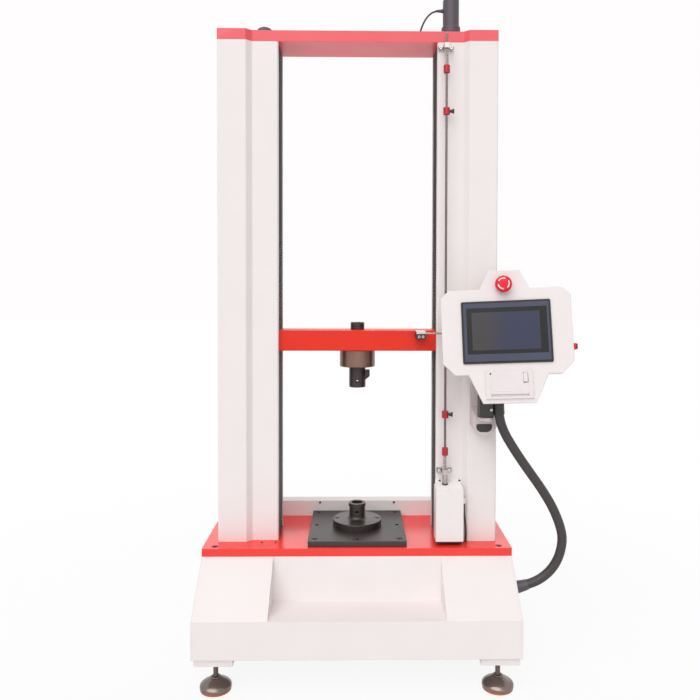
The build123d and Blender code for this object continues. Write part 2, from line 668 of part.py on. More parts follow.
LIMIT_ROUTE = [
    (BOX_X[1] + 5.5, ROD_Y + 10, CABLE_EXIT_Z),
    (BOX_X[1] + 5.5, ROD_Y + 10, CABLE_EXIT_Z - 20),
    (BOX_X[1] + 8.5, ROD_Y + 9, CABLE_EXIT_Z - 48),
    (BOX_X[1] + 10.5, ROD_Y + 8, CABLE_EXIT_Z - 76),
    (*LIMIT_CABLE_AT, PLATE_TOP - 1),
]
with BuildPart() as limit_cable:
    cord(LIMIT_ROUTE, LIMIT_CABLE_R)
finish(limit_cable, "limit_cable")

# Small screws: rear cover, above the switch box, lower clamp, and the bracket's knurled pair
with BuildPart() as cover_screws:
    for x in (ROD_X - 13.5, ROD_X + 13.5):
        for z in (BRACKET_Z, CLAMP_Z):
            socket_screw((x, FLANGE_FRONT, z + GUIDE_H / 2), 4.5, 5, (0, -1, 0))
    for x in (-106, 106):
        socket_screw((x, PLATE_BACK, UPSTAND_TOP - 5), 3, 3, (0, -1, 0))
    for x in (BOX_X[0] + 8, BOX_X[1] - 8):
        socket_screw((x, COL_INNER_FRONT, BOX_TOP + 10), 3.5, 3, (0, -1, 0))
finish(cover_screws, "cover_screws")

# Panel frame: u to the panel's right, v up its face, w out towards the operator
PANEL_AT = (353.3, -223.4, 535.7)
PANEL_YAW = -9.23
PANEL_PITCH = -9.74
PANEL_ROLL = -2.73
PANEL_D = 50.0


def turn(vector):
    """Direction in the panel's own frame turned to the machine's frame."""
    return vector.rotate(Axis.Y, PANEL_ROLL).rotate(Axis.X, PANEL_PITCH).rotate(Axis.Z, PANEL_YAW)


PANEL = Plane(origin=PANEL_AT, x_dir=turn(Vector(1, 0, 0)), z_dir=turn(Vector(0, -1, 0)))


def panel_box(u, v, w, mode=Mode.ADD, round_r=0):
    """Box on the panel between low and high values of u, v and w."""
    with BuildSketch(PANEL.offset(w[0])) as face:
        with Locations(((u[0] + u[1]) / 2, (v[0] + v[1]) / 2)):
            Rectangle(u[1] - u[0], v[1] - v[0])
        if round_r:
            fillet(face.vertices(), round_r)
    extrude(face.sketch, amount=w[1] - w[0], mode=mode)


def panel_disc(u, v, w, radius, height, mode=Mode.ADD):
    """Cylinder that stands on the panel at height w."""
    disc(PANEL.from_local_coords(Vector(u, v, w)), radius, height, PANEL.z_dir, mode)


def panel_outline(inset):
    """Sixteen-sided face of the enclosure."""
    half = [
        (37.3, 149), (58.7, 104), (134, 104), (153, 85), (153, -72), (125, -101), (93, -101), (61.6, -168.5),
    ]
    with BuildLine() as edge:
        Polyline(*half, *[(-u, v) for u, v in reversed(half)], close=True)
    make_face(edge.edges())
    if inset:
        offset(amount=-inset, mode=Mode.REPLACE)


# Enclosure
SCREEN = (210.0, 149.0)
PRINTER = (110.0, 67.0)
PRINTER_V = -124.0
ESTOP = (-2.5, 112.0)
ROCKER_U = 151.5
ROCKER_V = -38.0
with BuildPart() as panel_shell:
    with BuildSketch(PANEL):
        panel_outline(0)
    extrude(amount=-PANEL_D)
    fillet(panel_shell.faces().sort_by(Axis((0, 0, 0), PANEL.z_dir))[-1].edges(), 1.5)
    with BuildSketch(PANEL.offset(-SHEET)):
        panel_outline(SHEET)
    extrude(amount=-PANEL_D, mode=Mode.SUBTRACT)
    panel_box((-98, 98), (-68, 68), (-SHEET - 1, 1), Mode.SUBTRACT)
    panel_box((-51, 51), (PRINTER_V - 29, PRINTER_V + 29), (-SHEET - 1, 1), Mode.SUBTRACT)
    panel_disc(*ESTOP, -SHEET - 1, 11, SHEET + 2, Mode.SUBTRACT)
    panel_box((149, 154), (ROCKER_V - 9, ROCKER_V + 9), (-32, -16), Mode.SUBTRACT)
    panel_disc(ROCKER_U, ROCKER_V, -34, 1.2 + FIT, 20, Mode.SUBTRACT)
finish(panel_shell, "panel_shell")

# Back plate with the two hinge ears and the tilt pin
EAR_T = 9.0
TILT_U = -49.0
TILT_V = -138.0
TILT_W = -PANEL_D - 17
LUG_HALF = 10.0
PIN_TILT_R = 5.0


def tilt_plane(u):
    """Plane across the tilt axis at u, looking along it."""
    return Plane(
        origin=PANEL.from_local_coords(Vector(u, TILT_V, TILT_W)), x_dir=PANEL.y_dir, z_dir=PANEL.x_dir
    )


with BuildPart() as panel_back:
    with BuildSketch(PANEL.offset(-PANEL_D)):
        panel_outline(0)
    extrude(amount=-SHEET)
    for u in (TILT_U - LUG_HALF - GAP - EAR_T, TILT_U + LUG_HALF + GAP):
        with BuildSketch(tilt_plane(u)):
            Circle(10)
            with Locations((0, -(TILT_W + PANEL_D + SHEET) / 2)):
                Rectangle(20, -(TILT_W + PANEL_D + SHEET))
        extrude(amount=EAR_T)
    with BuildSketch(tilt_plane(TILT_U - LUG_HALF - EAR_T - 4)):
        Circle(PIN_TILT_R)
    extrude(amount=2 * (LUG_HALF + EAR_T + 4))
finish(panel_back, "panel_back")

# Touch screen: black rim with the body behind it, bezel and glass
with BuildPart() as screen_rim:
    panel_box((-SCREEN[0] / 2, SCREEN[0] / 2), (-SCREEN[1] / 2, SCREEN[1] / 2), (0, 3.5), round_r=4)
    panel_box((-97, 97), (-67, 67), (-38, 0))
finish(screen_rim, "screen_rim")

GLASS_U = (-93.0, 95.0)
GLASS_V = (-52.0, 58.0)
with BuildPart() as screen_bezel:
    across, up = SCREEN[0] / 2 - 5, SCREEN[1] / 2 - 5
    panel_box((-across, across), (-up, up), (3.5, 6), round_r=2)
    panel_box(GLASS_U, GLASS_V, (3.5, 6), Mode.SUBTRACT)
finish(screen_bezel, "screen_bezel")
with BuildPart() as screen_glass:
    panel_box(GLASS_U, GLASS_V, (3.5, 5))
finish(screen_glass, "screen_glass")

# Printer: frame and body, door hinged along its lower edge, latch lever
DOOR_U = (-42.0, 44.0)
DOOR_V = (PRINTER_V - 23, PRINTER_V + 22)
LATCH_U = (34.0, 42.5)
LATCH_V = (PRINTER_V + 5, PRINTER_V + 26)
with BuildPart() as printer_frame:
    across, up = PRINTER[0] / 2, PRINTER[1] / 2
    panel_box((-across, across), (PRINTER_V - up, PRINTER_V + up), (0, 5), round_r=2)
    panel_box((-50, 50), (PRINTER_V - 28, PRINTER_V + 28), (-40, 0))
    panel_box(
        (DOOR_U[0] - GAP, DOOR_U[1] + GAP), (DOOR_V[0] - 6, DOOR_V[1] + GAP), (1, 6), Mode.SUBTRACT
    )
    panel_box((LATCH_U[0] - 1, LATCH_U[1] + 1), (LATCH_V[0], LATCH_V[1] + 1), (1, 6), Mode.SUBTRACT)
    panel_box((DOOR_U[0] + 6, DOOR_U[1] - 6), (DOOR_V[0] + 6, DOOR_V[1] - 4), (-30, 2), Mode.SUBTRACT)
finish(printer_frame, "printer_frame")
with BuildPart() as printer_door:
    panel_box(DOOR_U, DOOR_V, (1.2, 5.5), round_r=1)
    panel_box((LATCH_U[0] - 1, LATCH_U[1] + 3), (LATCH_V[0] - 3, LATCH_V[1] + 1), (1, 7), Mode.SUBTRACT)
finish(printer_door, "printer_door")
with BuildPart() as printer_latch:
    panel_box(LATCH_U, LATCH_V, (1.5, 6), round_r=3)
finish(printer_latch, "printer_latch")

# Emergency stop: mushroom head on its plunger
with BuildPart() as estop_button:
    u, v = ESTOP
    with BuildSketch(
        Plane(origin=PANEL.from_local_coords(Vector(u, v, 0)), x_dir=PANEL.x_dir, z_dir=-PANEL.y_dir)
    ):
        with BuildLine():
            Polyline(
                (0, -20), (10, -20), (10, 13), (18, 15), (20, 18), (20, 23), (18.5, 26), (15, 27.5),
                (0, 28.5), close=True,
            )
        make_face()
    revolve(axis=Axis(PANEL.from_local_coords(Vector(u, v, 0)), PANEL.z_dir))
finish(estop_button, "estop_button")

# Rocker switch in the enclosure's right side
with BuildPart() as rocker_switch:
    panel_box((146, 156), (ROCKER_V - 7.5, ROCKER_V + 7.5), (-31, -17))
    with BuildSketch(PANEL.offset(-30)):
        with BuildLine():
            Polyline(
                (156, ROCKER_V - 7), (156, ROCKER_V + 7), (158, ROCKER_V + 7), (161, ROCKER_V - 7), close=True
            )
        make_face()
    extrude(amount=12)
    panel_disc(ROCKER_U, ROCKER_V, -33.5, 1.2, 19)
finish(rocker_switch, "rocker_switch")

# Column mount of the panel: rounded housing, shelf and swivel pin
MOUNT_X = (COL_OUT - 69, COL_OUT - 6)
MOUNT_MID = COL_OUT - 39
MOUNT_LOW = 266.0
MOUNT_TOP = 405.0
MOUNT_FRONT = -128.0
SWIVEL = (COL_OUT - 40, MOUNT_FRONT - 26)
KNUCKLE_R = 20.5
KNUCKLE_Z = (321.0, 372.0)
SWIVEL_R = 6.0


def insert_face(margin):
    """D-shaped face of the mount's insert."""
    with BuildSketch(Plane.XZ.offset(-MOUNT_FRONT - 4)) as face:
        with Locations((MOUNT_MID, MOUNT_LOW + 21)):
            Rectangle(39 + 2 * margin, 20 + 2 * margin)
        fillet(face.vertices().group_by(Axis.Y)[0], 14)
        fillet(face.vertices().group_by(Axis.Y)[-1], 4)
    return face.sketch


with BuildPart() as panel_mount:
    with BuildSketch(Plane.XZ.offset(-COL_FRONT)) as face:
        with BuildLine():
            Polyline(
                (MOUNT_X[0], MOUNT_TOP), (MOUNT_X[1], MOUNT_TOP), (MOUNT_X[1], MOUNT_LOW + 22),
                (MOUNT_X[1] - 20, MOUNT_LOW), (MOUNT_X[0] + 20, MOUNT_LOW), (MOUNT_X[0], MOUNT_LOW + 22),
                close=True,
            )
        make_face()
        fillet(face.vertices().group_by(Axis.Z)[0], 18)
    extrude(amount=COL_FRONT - MOUNT_FRONT)
    fillet(panel_mount.faces().sort_by(Axis.Y)[0].edges(), 5)
    block(
        (SWIVEL[0] - 20, SWIVEL[0] + 20), (SWIVEL[1], MOUNT_FRONT + 6), (KNUCKLE_Z[0] - 9, KNUCKLE_Z[0] - GAP)
    )
    disc((*SWIVEL, KNUCKLE_Z[0] - 9), 20, 9 - GAP)
    disc((*SWIVEL, KNUCKLE_Z[0] - 9), SWIVEL_R, KNUCKLE_Z[1] - KNUCKLE_Z[0] + 5)
    slab(
        [
            (MOUNT_FRONT - 1, KNUCKLE_Z[0] + 8), (MOUNT_FRONT + 26, KNUCKLE_Z[0] + 16),
            (MOUNT_FRONT + 26, MOUNT_TOP + 1), (MOUNT_FRONT - 1, MOUNT_TOP + 1),
        ],
        MOUNT_X[0] - 1, MOUNT_X[1] - MOUNT_X[0] + 2, Mode.SUBTRACT,
    )
    extrude(insert_face(GAP), amount=6, mode=Mode.SUBTRACT)
finish(panel_mount, "panel_mount")

with BuildPart() as mount_insert:
    extrude(insert_face(0), amount=2.5)
finish(mount_insert, "mount_insert")

# Swivel knuckle: barrel on the pin, tilt lug and the tab that holds the hose fitting
HOSE_R = 11.5
HOSE_TOP = (SWIVEL[0] + 28, SWIVEL[1] - 18, KNUCKLE_Z[1] - 14)
with BuildPart() as swivel_knuckle:
    disc((*SWIVEL, KNUCKLE_Z[0]), KNUCKLE_R, KNUCKLE_Z[1] - KNUCKLE_Z[0])
    block((SWIVEL[0] - 20, SWIVEL[0] + 13), (SWIVEL[1] - 26, SWIVEL[1]), (KNUCKLE_Z[0] + 4, KNUCKLE_Z[1]))
    block(
        (SWIVEL[0], HOSE_TOP[0] + 18), (HOSE_TOP[1] - 6, HOSE_TOP[1] + 18), (HOSE_TOP[2], HOSE_TOP[2] + 7)
    )
    disc(HOSE_TOP, 16, 7)
    disc(HOSE_TOP, 13, 12)
    with BuildSketch(tilt_plane(TILT_U - LUG_HALF)):
        Circle(11)
        with BuildLine():
            Polyline((8, 7), (8, -8), (-24, -12), (-24, 7), close=True)
        make_face()
    extrude(amount=2 * LUG_HALF)
    with BuildSketch(tilt_plane(TILT_U - LUG_HALF)):
        Circle(PIN_TILT_R + FIT)
    extrude(amount=2 * LUG_HALF, mode=Mode.SUBTRACT)
    disc((*SWIVEL, KNUCKLE_Z[0]), SWIVEL_R + FIT, KNUCKLE_Z[1] - KNUCKLE_Z[0] - 3, mode=Mode.SUBTRACT)
finish(swivel_knuckle, "swivel_knuckle")

# Hose from the knuckle to the gland on the cabinet's right side
HOSE_OUT = PLATE_HALF + 122
HOSE_REACH = HOSE_OUT - HOSE_TOP[0]
HOSE_ROUTE = [
    HOSE_TOP,
    (HOSE_TOP[0], -172, 330),
    (HOSE_TOP[0] + 0.066 * HOSE_REACH, -171, 290),
    (HOSE_TOP[0] + 0.235 * HOSE_REACH, -169, 243),
    (HOSE_TOP[0] + 0.434 * HOSE_REACH, -166, 195),
    (HOSE_TOP[0] + 0.663 * HOSE_REACH, -162, 143),
    (HOSE_TOP[0] + 0.861 * HOSE_REACH, -158, 89),
    (HOSE_OUT, -153, 28),
    (HOSE_OUT - 2, -149, -14),
    (HOSE_OUT - 14.5, -146, -50.5),
    (HOSE_OUT - 38.5, -143, -81),
    (HOSE_OUT - 72.8, -141, -102.5),
    (HOSE_OUT - 112.5, -140, -112.3),
]
HOSE_END = Vector(*HOSE_ROUTE[-1])
HOSE_WAY = (HOSE_END - Vector(*HOSE_ROUTE[-2])).normalized()
with BuildPart() as hose_gland:
    with BuildSketch(Plane(origin=(PLATE_HALF, HOSE_END.Y, HOSE_END.Z - 1.5), z_dir=(1, 0, 0))):
        RegularPolygon(20, 6)
    extrude(amount=6)
    disc(HOSE_END, 15, 8, HOSE_WAY)
    inside = (PLATE_HALF - 12, PLATE_HALF)
    block(inside, (HOSE_END.Y - 30, HOSE_END.Y + 30), (HOSE_END.Z - 30, HOSE_END.Z + 30), Mode.SUBTRACT)
finish(hose_gland, "hose_gland")

with BuildPart() as hose:
    cord(HOSE_ROUTE, HOSE_R)
finish(hose, "hose")


def foot(x, y):
    """Levelling foot: stud, lock nut, domed disc and rubber sole."""
    turned(
        (x, y, FLOOR),
        [(0, 7), (34, 7), (36, 5), (37, 0), (0, 0)],
    )
    turned(
        (x, y, FLOOR),
        [
            (0, 7), (38, 7), (38, 13), (34, 17), (20, 23), (13, 27), (12, 34), (STUD_R, 34),
            (STUD_R, FOOT_H + 28), (0, FOOT_H + 28),
        ],
    )
    with BuildSketch(Plane((x, y, FLOOR + 33))) as nut:
        RegularPolygon(13, 6)
    extrude(nut.sketch, amount=5)


# Levelling feet
FOOT_NAMES = ("front_left_foot", "front_right_foot", "rear_left_foot", "rear_right_foot")
for label, (x, y) in zip(FOOT_NAMES, FOOT_AT):
    with BuildPart() as levelling_foot:
        foot(x, y)
    finish(levelling_foot, label)
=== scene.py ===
# %% [markdown]
# A floor-standing universal testing machine: a white cabinet on four levelling feet, two columns, a red crosshead that
# two screws drive up and down, a black table, a limit rod and a control panel on a swivel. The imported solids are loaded
# as a fixed frame. This script gives them their finishes, and remakes the pieces that a plain solid can't show well:
# the hose and cables, the bellows, the coil springs, the feet, the display and the small screws.

# %% Load the frame
from math import cos, hypot, pi, sin, tau

import bmesh
import bpy
from mathutils import Matrix, Vector


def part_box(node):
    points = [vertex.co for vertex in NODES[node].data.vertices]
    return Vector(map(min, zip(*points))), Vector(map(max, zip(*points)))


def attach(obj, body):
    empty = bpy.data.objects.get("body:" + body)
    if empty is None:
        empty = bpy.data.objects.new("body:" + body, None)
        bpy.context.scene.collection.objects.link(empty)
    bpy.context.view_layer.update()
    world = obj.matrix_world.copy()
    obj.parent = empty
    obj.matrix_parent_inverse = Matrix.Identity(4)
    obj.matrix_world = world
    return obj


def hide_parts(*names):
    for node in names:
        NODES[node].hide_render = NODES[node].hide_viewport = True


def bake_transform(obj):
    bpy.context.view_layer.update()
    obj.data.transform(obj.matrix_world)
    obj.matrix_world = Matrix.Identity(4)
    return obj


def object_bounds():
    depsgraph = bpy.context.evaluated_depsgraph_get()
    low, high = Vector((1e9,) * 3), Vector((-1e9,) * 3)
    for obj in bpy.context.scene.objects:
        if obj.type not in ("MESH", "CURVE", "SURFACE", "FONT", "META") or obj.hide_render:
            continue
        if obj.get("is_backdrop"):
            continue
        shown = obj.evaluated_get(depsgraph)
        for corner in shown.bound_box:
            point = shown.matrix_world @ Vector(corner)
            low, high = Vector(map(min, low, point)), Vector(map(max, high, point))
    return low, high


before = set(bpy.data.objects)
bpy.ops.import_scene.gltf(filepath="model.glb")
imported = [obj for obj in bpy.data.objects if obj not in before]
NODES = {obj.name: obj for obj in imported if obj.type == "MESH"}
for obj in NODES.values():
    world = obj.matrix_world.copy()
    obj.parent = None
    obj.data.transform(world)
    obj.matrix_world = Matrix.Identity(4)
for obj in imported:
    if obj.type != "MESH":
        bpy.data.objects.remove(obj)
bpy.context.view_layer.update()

MM = 0.001

# %% [markdown]
# A few steps come back all through the script: a new object is put into the scene, an evaluated shape is kept as a
# plain mesh, a closed mesh has its faces turned outwards, and a sharp piece has its edges broken.

# %% Object helpers
def placed(name, data):
    """New object in the scene."""
    made = bpy.data.objects.new(name, data)
    bpy.context.scene.collection.objects.link(made)
    return made


def as_mesh(source):
    """Plain mesh of an evaluated object."""
    graph = bpy.context.evaluated_depsgraph_get()
    return bpy.data.meshes.new_from_object(source.evaluated_get(graph), depsgraph=graph)


def face_outwards(mesh, merge=0.0):
    """Turns all faces outwards; points that are closer together than merge become one."""
    work = bmesh.new()
    work.from_mesh(mesh)
    if merge:
        bmesh.ops.remove_doubles(work, verts=work.verts, dist=merge)
    bmesh.ops.recalc_face_normals(work, faces=work.faces)
    work.to_mesh(mesh)
    work.free()


def break_edges(made, width):
    """Narrow bevel along the sharp edges, its width in millimetres."""
    edge = made.modifiers.new("broken_edge", "BEVEL")
    edge.width = width * MM
    edge.segments = 2


# %% [markdown]
# The camera stands where the photographer stood, in front of the middle and at waist height. Its place, turn and lens
# were solved from the machine's own corners. The photograph was cropped off centre, so the lens is shifted, which keeps
# the uprights as upright as they are there.

# %% Camera
IMAGE = 700
FOCAL_PX = 711.843
CENTRE_PX = (365.204, 304.538)
SENSOR = 36.0
CAMERA_PLACE = (-0.006993, -1.90697, 0.6386)
YAW, PITCH, ROLL = -0.0145, -0.0231, 0.0021
camera_data = bpy.data.cameras.new("camera")
camera_data.sensor_width = SENSOR
camera_data.lens = SENSOR * FOCAL_PX / IMAGE
camera_data.shift_x = (IMAGE / 2 - CENTRE_PX[0]) / IMAGE
camera_data.shift_y = (CENTRE_PX[1] - IMAGE / 2) / IMAGE
camera_data.clip_end = 100
camera = placed("camera", camera_data)
turn = Matrix.Rotation(YAW, 4, "Z") @ Matrix.Rotation(PITCH, 4, "X") @ Matrix.Rotation(-ROLL, 4, "Y")
camera.matrix_world = Matrix.Translation(CAMERA_PLACE) @ turn @ Matrix.Rotation(pi / 2, 4, "X")
bpy.context.scene.camera = camera
print("lens", round(camera_data.lens, 2), "shift", round(camera_data.shift_x, 4), round(camera_data.shift_y, 4))

# %% [markdown]
# Every finish below is a few shader nodes. One function adds a node, sets its properties and fills or links its
# inputs, and one turns the hex colours that were read off the photograph into the linear values that a shader needs.

# %% Node and colour helpers
def put(tree, kind, inputs=None, **settings):
    """Adds a node; an input's value is a socket to link or a plain value."""
    made = tree.nodes.new(kind)
    for key, value in settings.items():
        setattr(made, key, value)
    for key, value in (inputs or {}).items():
        if isinstance(value, bpy.types.NodeSocket):
            tree.links.new(value, made.inputs[key])
        else:
            made.inputs[key].default_value = value
    return made


def hue(code):
    """sRGB hex to linear RGBA."""
    parts = [int(code[i:i + 2], 16) / 255 for i in (1, 3, 5)]
    return [c / 12.92 if c <= 0.04045 else ((c + 0.055) / 1.055) ** 2.4 for c in parts] + [1.0]


# %% [markdown]
# What most of these surfaces share: a colour that wanders a little over a hand's width, a fine relief from how the
# surface was made, and edges that are broken, never knife-sharp. The wander and the relief are two noises on Object
# coordinates, so their scales are real millimetres. The broken edge is a Bevel node's normal under the bump. Where that
# normal leaves the face's own, the spot is an edge, and a finish that has a pale edge colour shows it there, partly
# wear and partly a painted highlight. On a turned piece the relief depends only on height and on the distance from the
# axis, so it runs round as tool marks do.

# %% One finish, from its real sizes
ROUGHNESS_SPREAD = 0.06    # either side of a finish's own roughness
BUMP_DEPTH = 0.3           # millimetres of relief at full strength
EDGE_WEAR_AND_HIGHLIGHT = (0.985, 0.8)      # cosine between face and broken edge where the pale edge, wear and painted highlight, starts, and where it is full
EDGE_WEAR_AND_HIGHLIGHT_SHARE = 0.75           # share of the pale edge colour, wear and painted highlight, at a full edge


def surface(name, colour, second, roughness, metallic=0.0, grain=1.0, relief=0.1, wander=90.0, edge=0.8,
            turned=None, edge_wear_and_highlight=None, **sockets):
    """Material of two close colours; grain, wander and edge are sizes in millimetres, relief the bump's strength.

    turned is (middle y, half x, half y) of the upright axes that tool marks run round, mirrored about their middle.
    """
    made = bpy.data.materials.new(name)
    made.use_nodes = True
    tree = made.node_tree
    shader = tree.nodes["Principled BSDF"]
    shader.inputs["Metallic"].default_value = metallic
    for key, value in sockets.items():
        shader.inputs[key.replace("_", " ").title().replace("Ior", "IOR")].default_value = value
    place = put(tree, "ShaderNodeTexCoord").outputs["Object"]
    slow = put(tree, "ShaderNodeTexNoise", {"Vector": place, "Scale": 1000 / wander, "Detail": 3.0})
    tint = put(tree, "ShaderNodeMix", {0: slow.outputs["Fac"], 6: hue(colour), 7: hue(second)}, data_type="RGBA")
    spread = put(
        tree, "ShaderNodeMapRange",
        {"Value": slow.outputs["Fac"], "To Min": roughness - ROUGHNESS_SPREAD, "To Max": roughness + ROUGHNESS_SPREAD},
    )
    tree.links.new(spread.outputs["Result"], shader.inputs["Roughness"])
    marks = place
    if turned:
        middle, half_x, half_y = [c * MM for c in turned]
        moved = put(tree, "ShaderNodeVectorMath", {0: place, 1: (0, -middle, 0)}, operation="ADD")
        folded = put(tree, "ShaderNodeVectorMath", {0: moved.outputs[0]}, operation="ABSOLUTE")
        local = put(tree, "ShaderNodeVectorMath", {0: folded.outputs[0], 1: (half_x, half_y, 0)}, operation="SUBTRACT")
        flat = put(tree, "ShaderNodeVectorMath", {0: local.outputs[0], 1: (1, 1, 0)}, operation="MULTIPLY")
        reach = put(tree, "ShaderNodeVectorMath", {0: flat.outputs[0]}, operation="LENGTH")
        height = put(tree, "ShaderNodeSeparateXYZ", {"Vector": place})
        marks = put(
            tree, "ShaderNodeCombineXYZ", {"X": reach.outputs["Value"], "Z": height.outputs["Z"]}
        ).outputs[0]
    fine = put(tree, "ShaderNodeTexNoise", {"Vector": marks, "Scale": 1000 / grain, "Detail": 2.0})
    broken = put(tree, "ShaderNodeBevel", {"Radius": edge * MM}, samples=4)
    bump = put(
        tree, "ShaderNodeBump",
        {"Strength": relief, "Distance": BUMP_DEPTH * MM, "Height": fine.outputs["Fac"],
         "Normal": broken.outputs["Normal"]},
    )
    tree.links.new(bump.outputs["Normal"], shader.inputs["Normal"])
    skin = tint.outputs[2]
    # pale edge colour: partly wear, partly a painted highlight along the edges
    if edge_wear_and_highlight:
        face = put(tree, "ShaderNodeNewGeometry").outputs["Normal"]
        along = put(tree, "ShaderNodeVectorMath", {0: broken.outputs["Normal"], 1: face}, operation="DOT_PRODUCT")
        wear_and_highlight = put(
            tree, "ShaderNodeMapRange",
            {"Value": along.outputs["Value"], "From Min": EDGE_WEAR_AND_HIGHLIGHT[0], "From Max": EDGE_WEAR_AND_HIGHLIGHT[1], "To Min": 0.0,
             "To Max": EDGE_WEAR_AND_HIGHLIGHT_SHARE},
        )
        skin = put(tree, "ShaderNodeMix", {0: wear_and_highlight.outputs[0], 6: skin, 7: hue(edge_wear_and_highlight)}, data_type="RGBA").outputs[2]
    tree.links.new(skin, shader.inputs["Base Color"])
    return made


# %% [markdown]
# The sheet metal is powder coated: electrostatic powder melts into a warm white skin with a fine orange peel, about
# half a millimetre from bump to bump, drawn at 1.6 mm here so that it shows. The control panel's is a shade greyer: the
# same white with painted shade that dims the panel's face to the level of the columns. The plates and the crosshead are
# red enamel, smoother and glossier; the top plate is a paler, pinker red, a painted sheen for the glare on it. Collars
# are anodised aluminium, whose dye lets the metal's sheen through.

# %% Painted and anodised finishes
powder_white = surface("powder_coat_white", "#F2ECEB", "#EEE7E6", 0.46, grain=1.6, relief=0.12, edge=1.2)
# painted shade: a greyer copy of the white powder coat that dims the control panel's face to the columns' level
powder_white_painted_shade = surface("powder_coat_white_painted_shade", "#ECE6E5", "#E8E1E0", 0.46, grain=1.6, relief=0.12, edge=1.2)
# its pale pink edge colour is partly wear, partly a painted highlight
enamel_red = surface("enamel_red", "#FB3C34", "#F4362E", 0.22, grain=2.2, relief=0.06, edge=1.2, edge_wear_and_highlight="#F7655C")
# painted sheen: a paler, pinker copy of the red enamel that stands for the glare on the top plate
enamel_red_painted_sheen = surface("enamel_red_top_painted_sheen", "#F2606A", "#EB535C", 0.40, grain=2.2, relief=0.06, edge=1.2, coat_weight=0.2)
enamel_crosshead = surface("enamel_red_crosshead", "#EE3625", "#E63121", 0.42, grain=2.2, relief=0.06, edge=1.0,
                           specular_ior_level=0.25)
anodised_red = surface("anodised_aluminium_red", "#C2303F", "#B02836", 0.34, 0.5, grain=0.8, relief=0.05, edge=0.5)

# %% [markdown]
# Steel comes in several finishes. Black oxide is a converted skin, dull and slightly brown, with paler edges that are
# partly wear and partly a painted highlight. The load cell and the adapters are turned on a lathe, and keep fine rings
# about 0.3 mm apart, drawn at 0.9 mm; the load cell's brown is a painted reflection of the red parts round it. The foot
# discs are turned and polished, and their threaded studs are a darker steel. The limit rod's polished steel is
# darkened, a painted dark reflection. Posts and screws of the drive are ground, small screws zinc plated, and the coil
# springs bright zinc. A metal keeps the default IOR.

# %% Steel finishes
# its pale edge colour is partly wear, partly a painted highlight
black_oxide = surface(
    "steel_black_oxide", "#463E3D", "#3A3332", 0.44, 0.3, grain=1.2, relief=0.08, edge=1.3, edge_wear_and_highlight="#7D7270"
)
# its pale edge colour is partly wear, partly a painted highlight
turned_black = surface(
    "steel_black_oxide_turned", "#463E3D", "#352F2E", 0.36, 0.45, grain=0.9, relief=0.14, edge=1.0, turned=(0, 0, 0),
    edge_wear_and_highlight="#857A78",
)
# painted reflection: the turned load cell is made brown for the red parts round it that it mirrors
turned_steel_painted_reflection = surface(
    "steel_turned", "#957468", "#7C6158", 0.33, 0.85, grain=0.9, relief=0.1, edge=0.8, turned=(0, 0, 0)
)
foot_steel = surface(
    "steel_polished_foot", "#8C807B", "#6B605C", 0.22, 0.95, grain=1.2, relief=0.05, edge=0.6, turned=(-48, 339, 167)
)
ground_steel = surface("steel_ground", "#B5AAA6", "#9D928F", 0.32, 0.9, grain=0.9, relief=0.06, edge=0.5)
# painted reflection: the polished limit rod is darkened for the dark reflections along it
polished_steel_painted_reflection = surface("steel_polished", "#857A76", "#675C59", 0.2, 1.0, grain=3.0, relief=0.03, edge=0.6)
# a darker steel for the studs of the feet
stud_steel_dark = surface("steel_stud_dark", "#7B6D6A", "#665A58", 0.36, 0.85, grain=0.9, relief=0.05, edge=0.2)
zinc_plate = surface("steel_zinc_plated", "#CDC5C2", "#B4AAA7", 0.30, 0.85, grain=0.7, relief=0.05, edge=0.4)
zinc_bright = surface("steel_zinc_bright", "#E2DBD9", "#CBC3C1", 0.26, 0.8, grain=0.9, relief=0.05, edge=0.6)

# %% [markdown]
# The mouldings are ABS with a spark-eroded texture. The switch box's hood is whitest: painted light for its sloping
# top, which catches the light from above. The hose and cables are soft PVC, the soles orange rubber and the bellows a
# cloth coated with black polyurethane. All are dielectrics with IOR near 1.5. The drive inside the cabinet has a grey
# cast housing.

# %% Plastic, rubber and cloth finishes
black_abs = surface("abs_black", "#544D57", "#48424B", 0.42, grain=0.9, relief=0.1, edge=0.8, ior=1.53)
knob_abs = surface("abs_black_knob", "#332D2E", "#2A2526", 0.40, grain=0.8, relief=0.1, edge=0.4, ior=1.53)
grey_abs = surface("abs_light_grey", "#DED4D6", "#D0C5C8", 0.38, grain=1.1, relief=0.1, edge=1.4, ior=1.53)
# painted light: the hood's sloping top is made whiter than the box for the light from above that falls on it
hood_abs_painted_light = surface("abs_white_hood_painted_light", "#FDFBFB", "#FAF7F7", 0.40, grain=1.1, relief=0.06, edge=0.8, ior=1.53)
white_abs = surface("abs_white", "#EAE1E2", "#E4DADC", 0.44, grain=1.1, relief=0.1, edge=0.6, ior=1.53)
bezel_abs = surface("abs_blue_grey", "#464A5F", "#3F4356", 0.42, grain=0.9, relief=0.08, edge=0.5, ior=1.53,
                    specular_ior_level=0.3)
rim_abs = surface("abs_rim_black", "#2B2728", "#242122", 0.45, grain=0.9, relief=0.08, edge=0.5, ior=1.53,
                  specular_ior_level=0.3)
signal_abs = surface("abs_signal_red", "#EF1B2D", "#E31627", 0.34, grain=1.4, relief=0.04, edge=0.6, ior=1.53,
                     specular_ior_level=0.25)
white_ink = surface("abs_white_inlay", "#F4E9E7", "#EFE2E0", 0.5, grain=0.9, relief=0.04, edge=0.1, ior=1.5)
hose_pvc = surface("pvc_black_hose", "#3F3839", "#363031", 0.48, grain=2.4, relief=0.12, wander=30, edge=0.3, ior=1.52)
sole_rubber = surface("rubber_orange", "#C8673F", "#B75B37", 0.62, grain=1.0, relief=0.2, edge=0.8, ior=1.5)
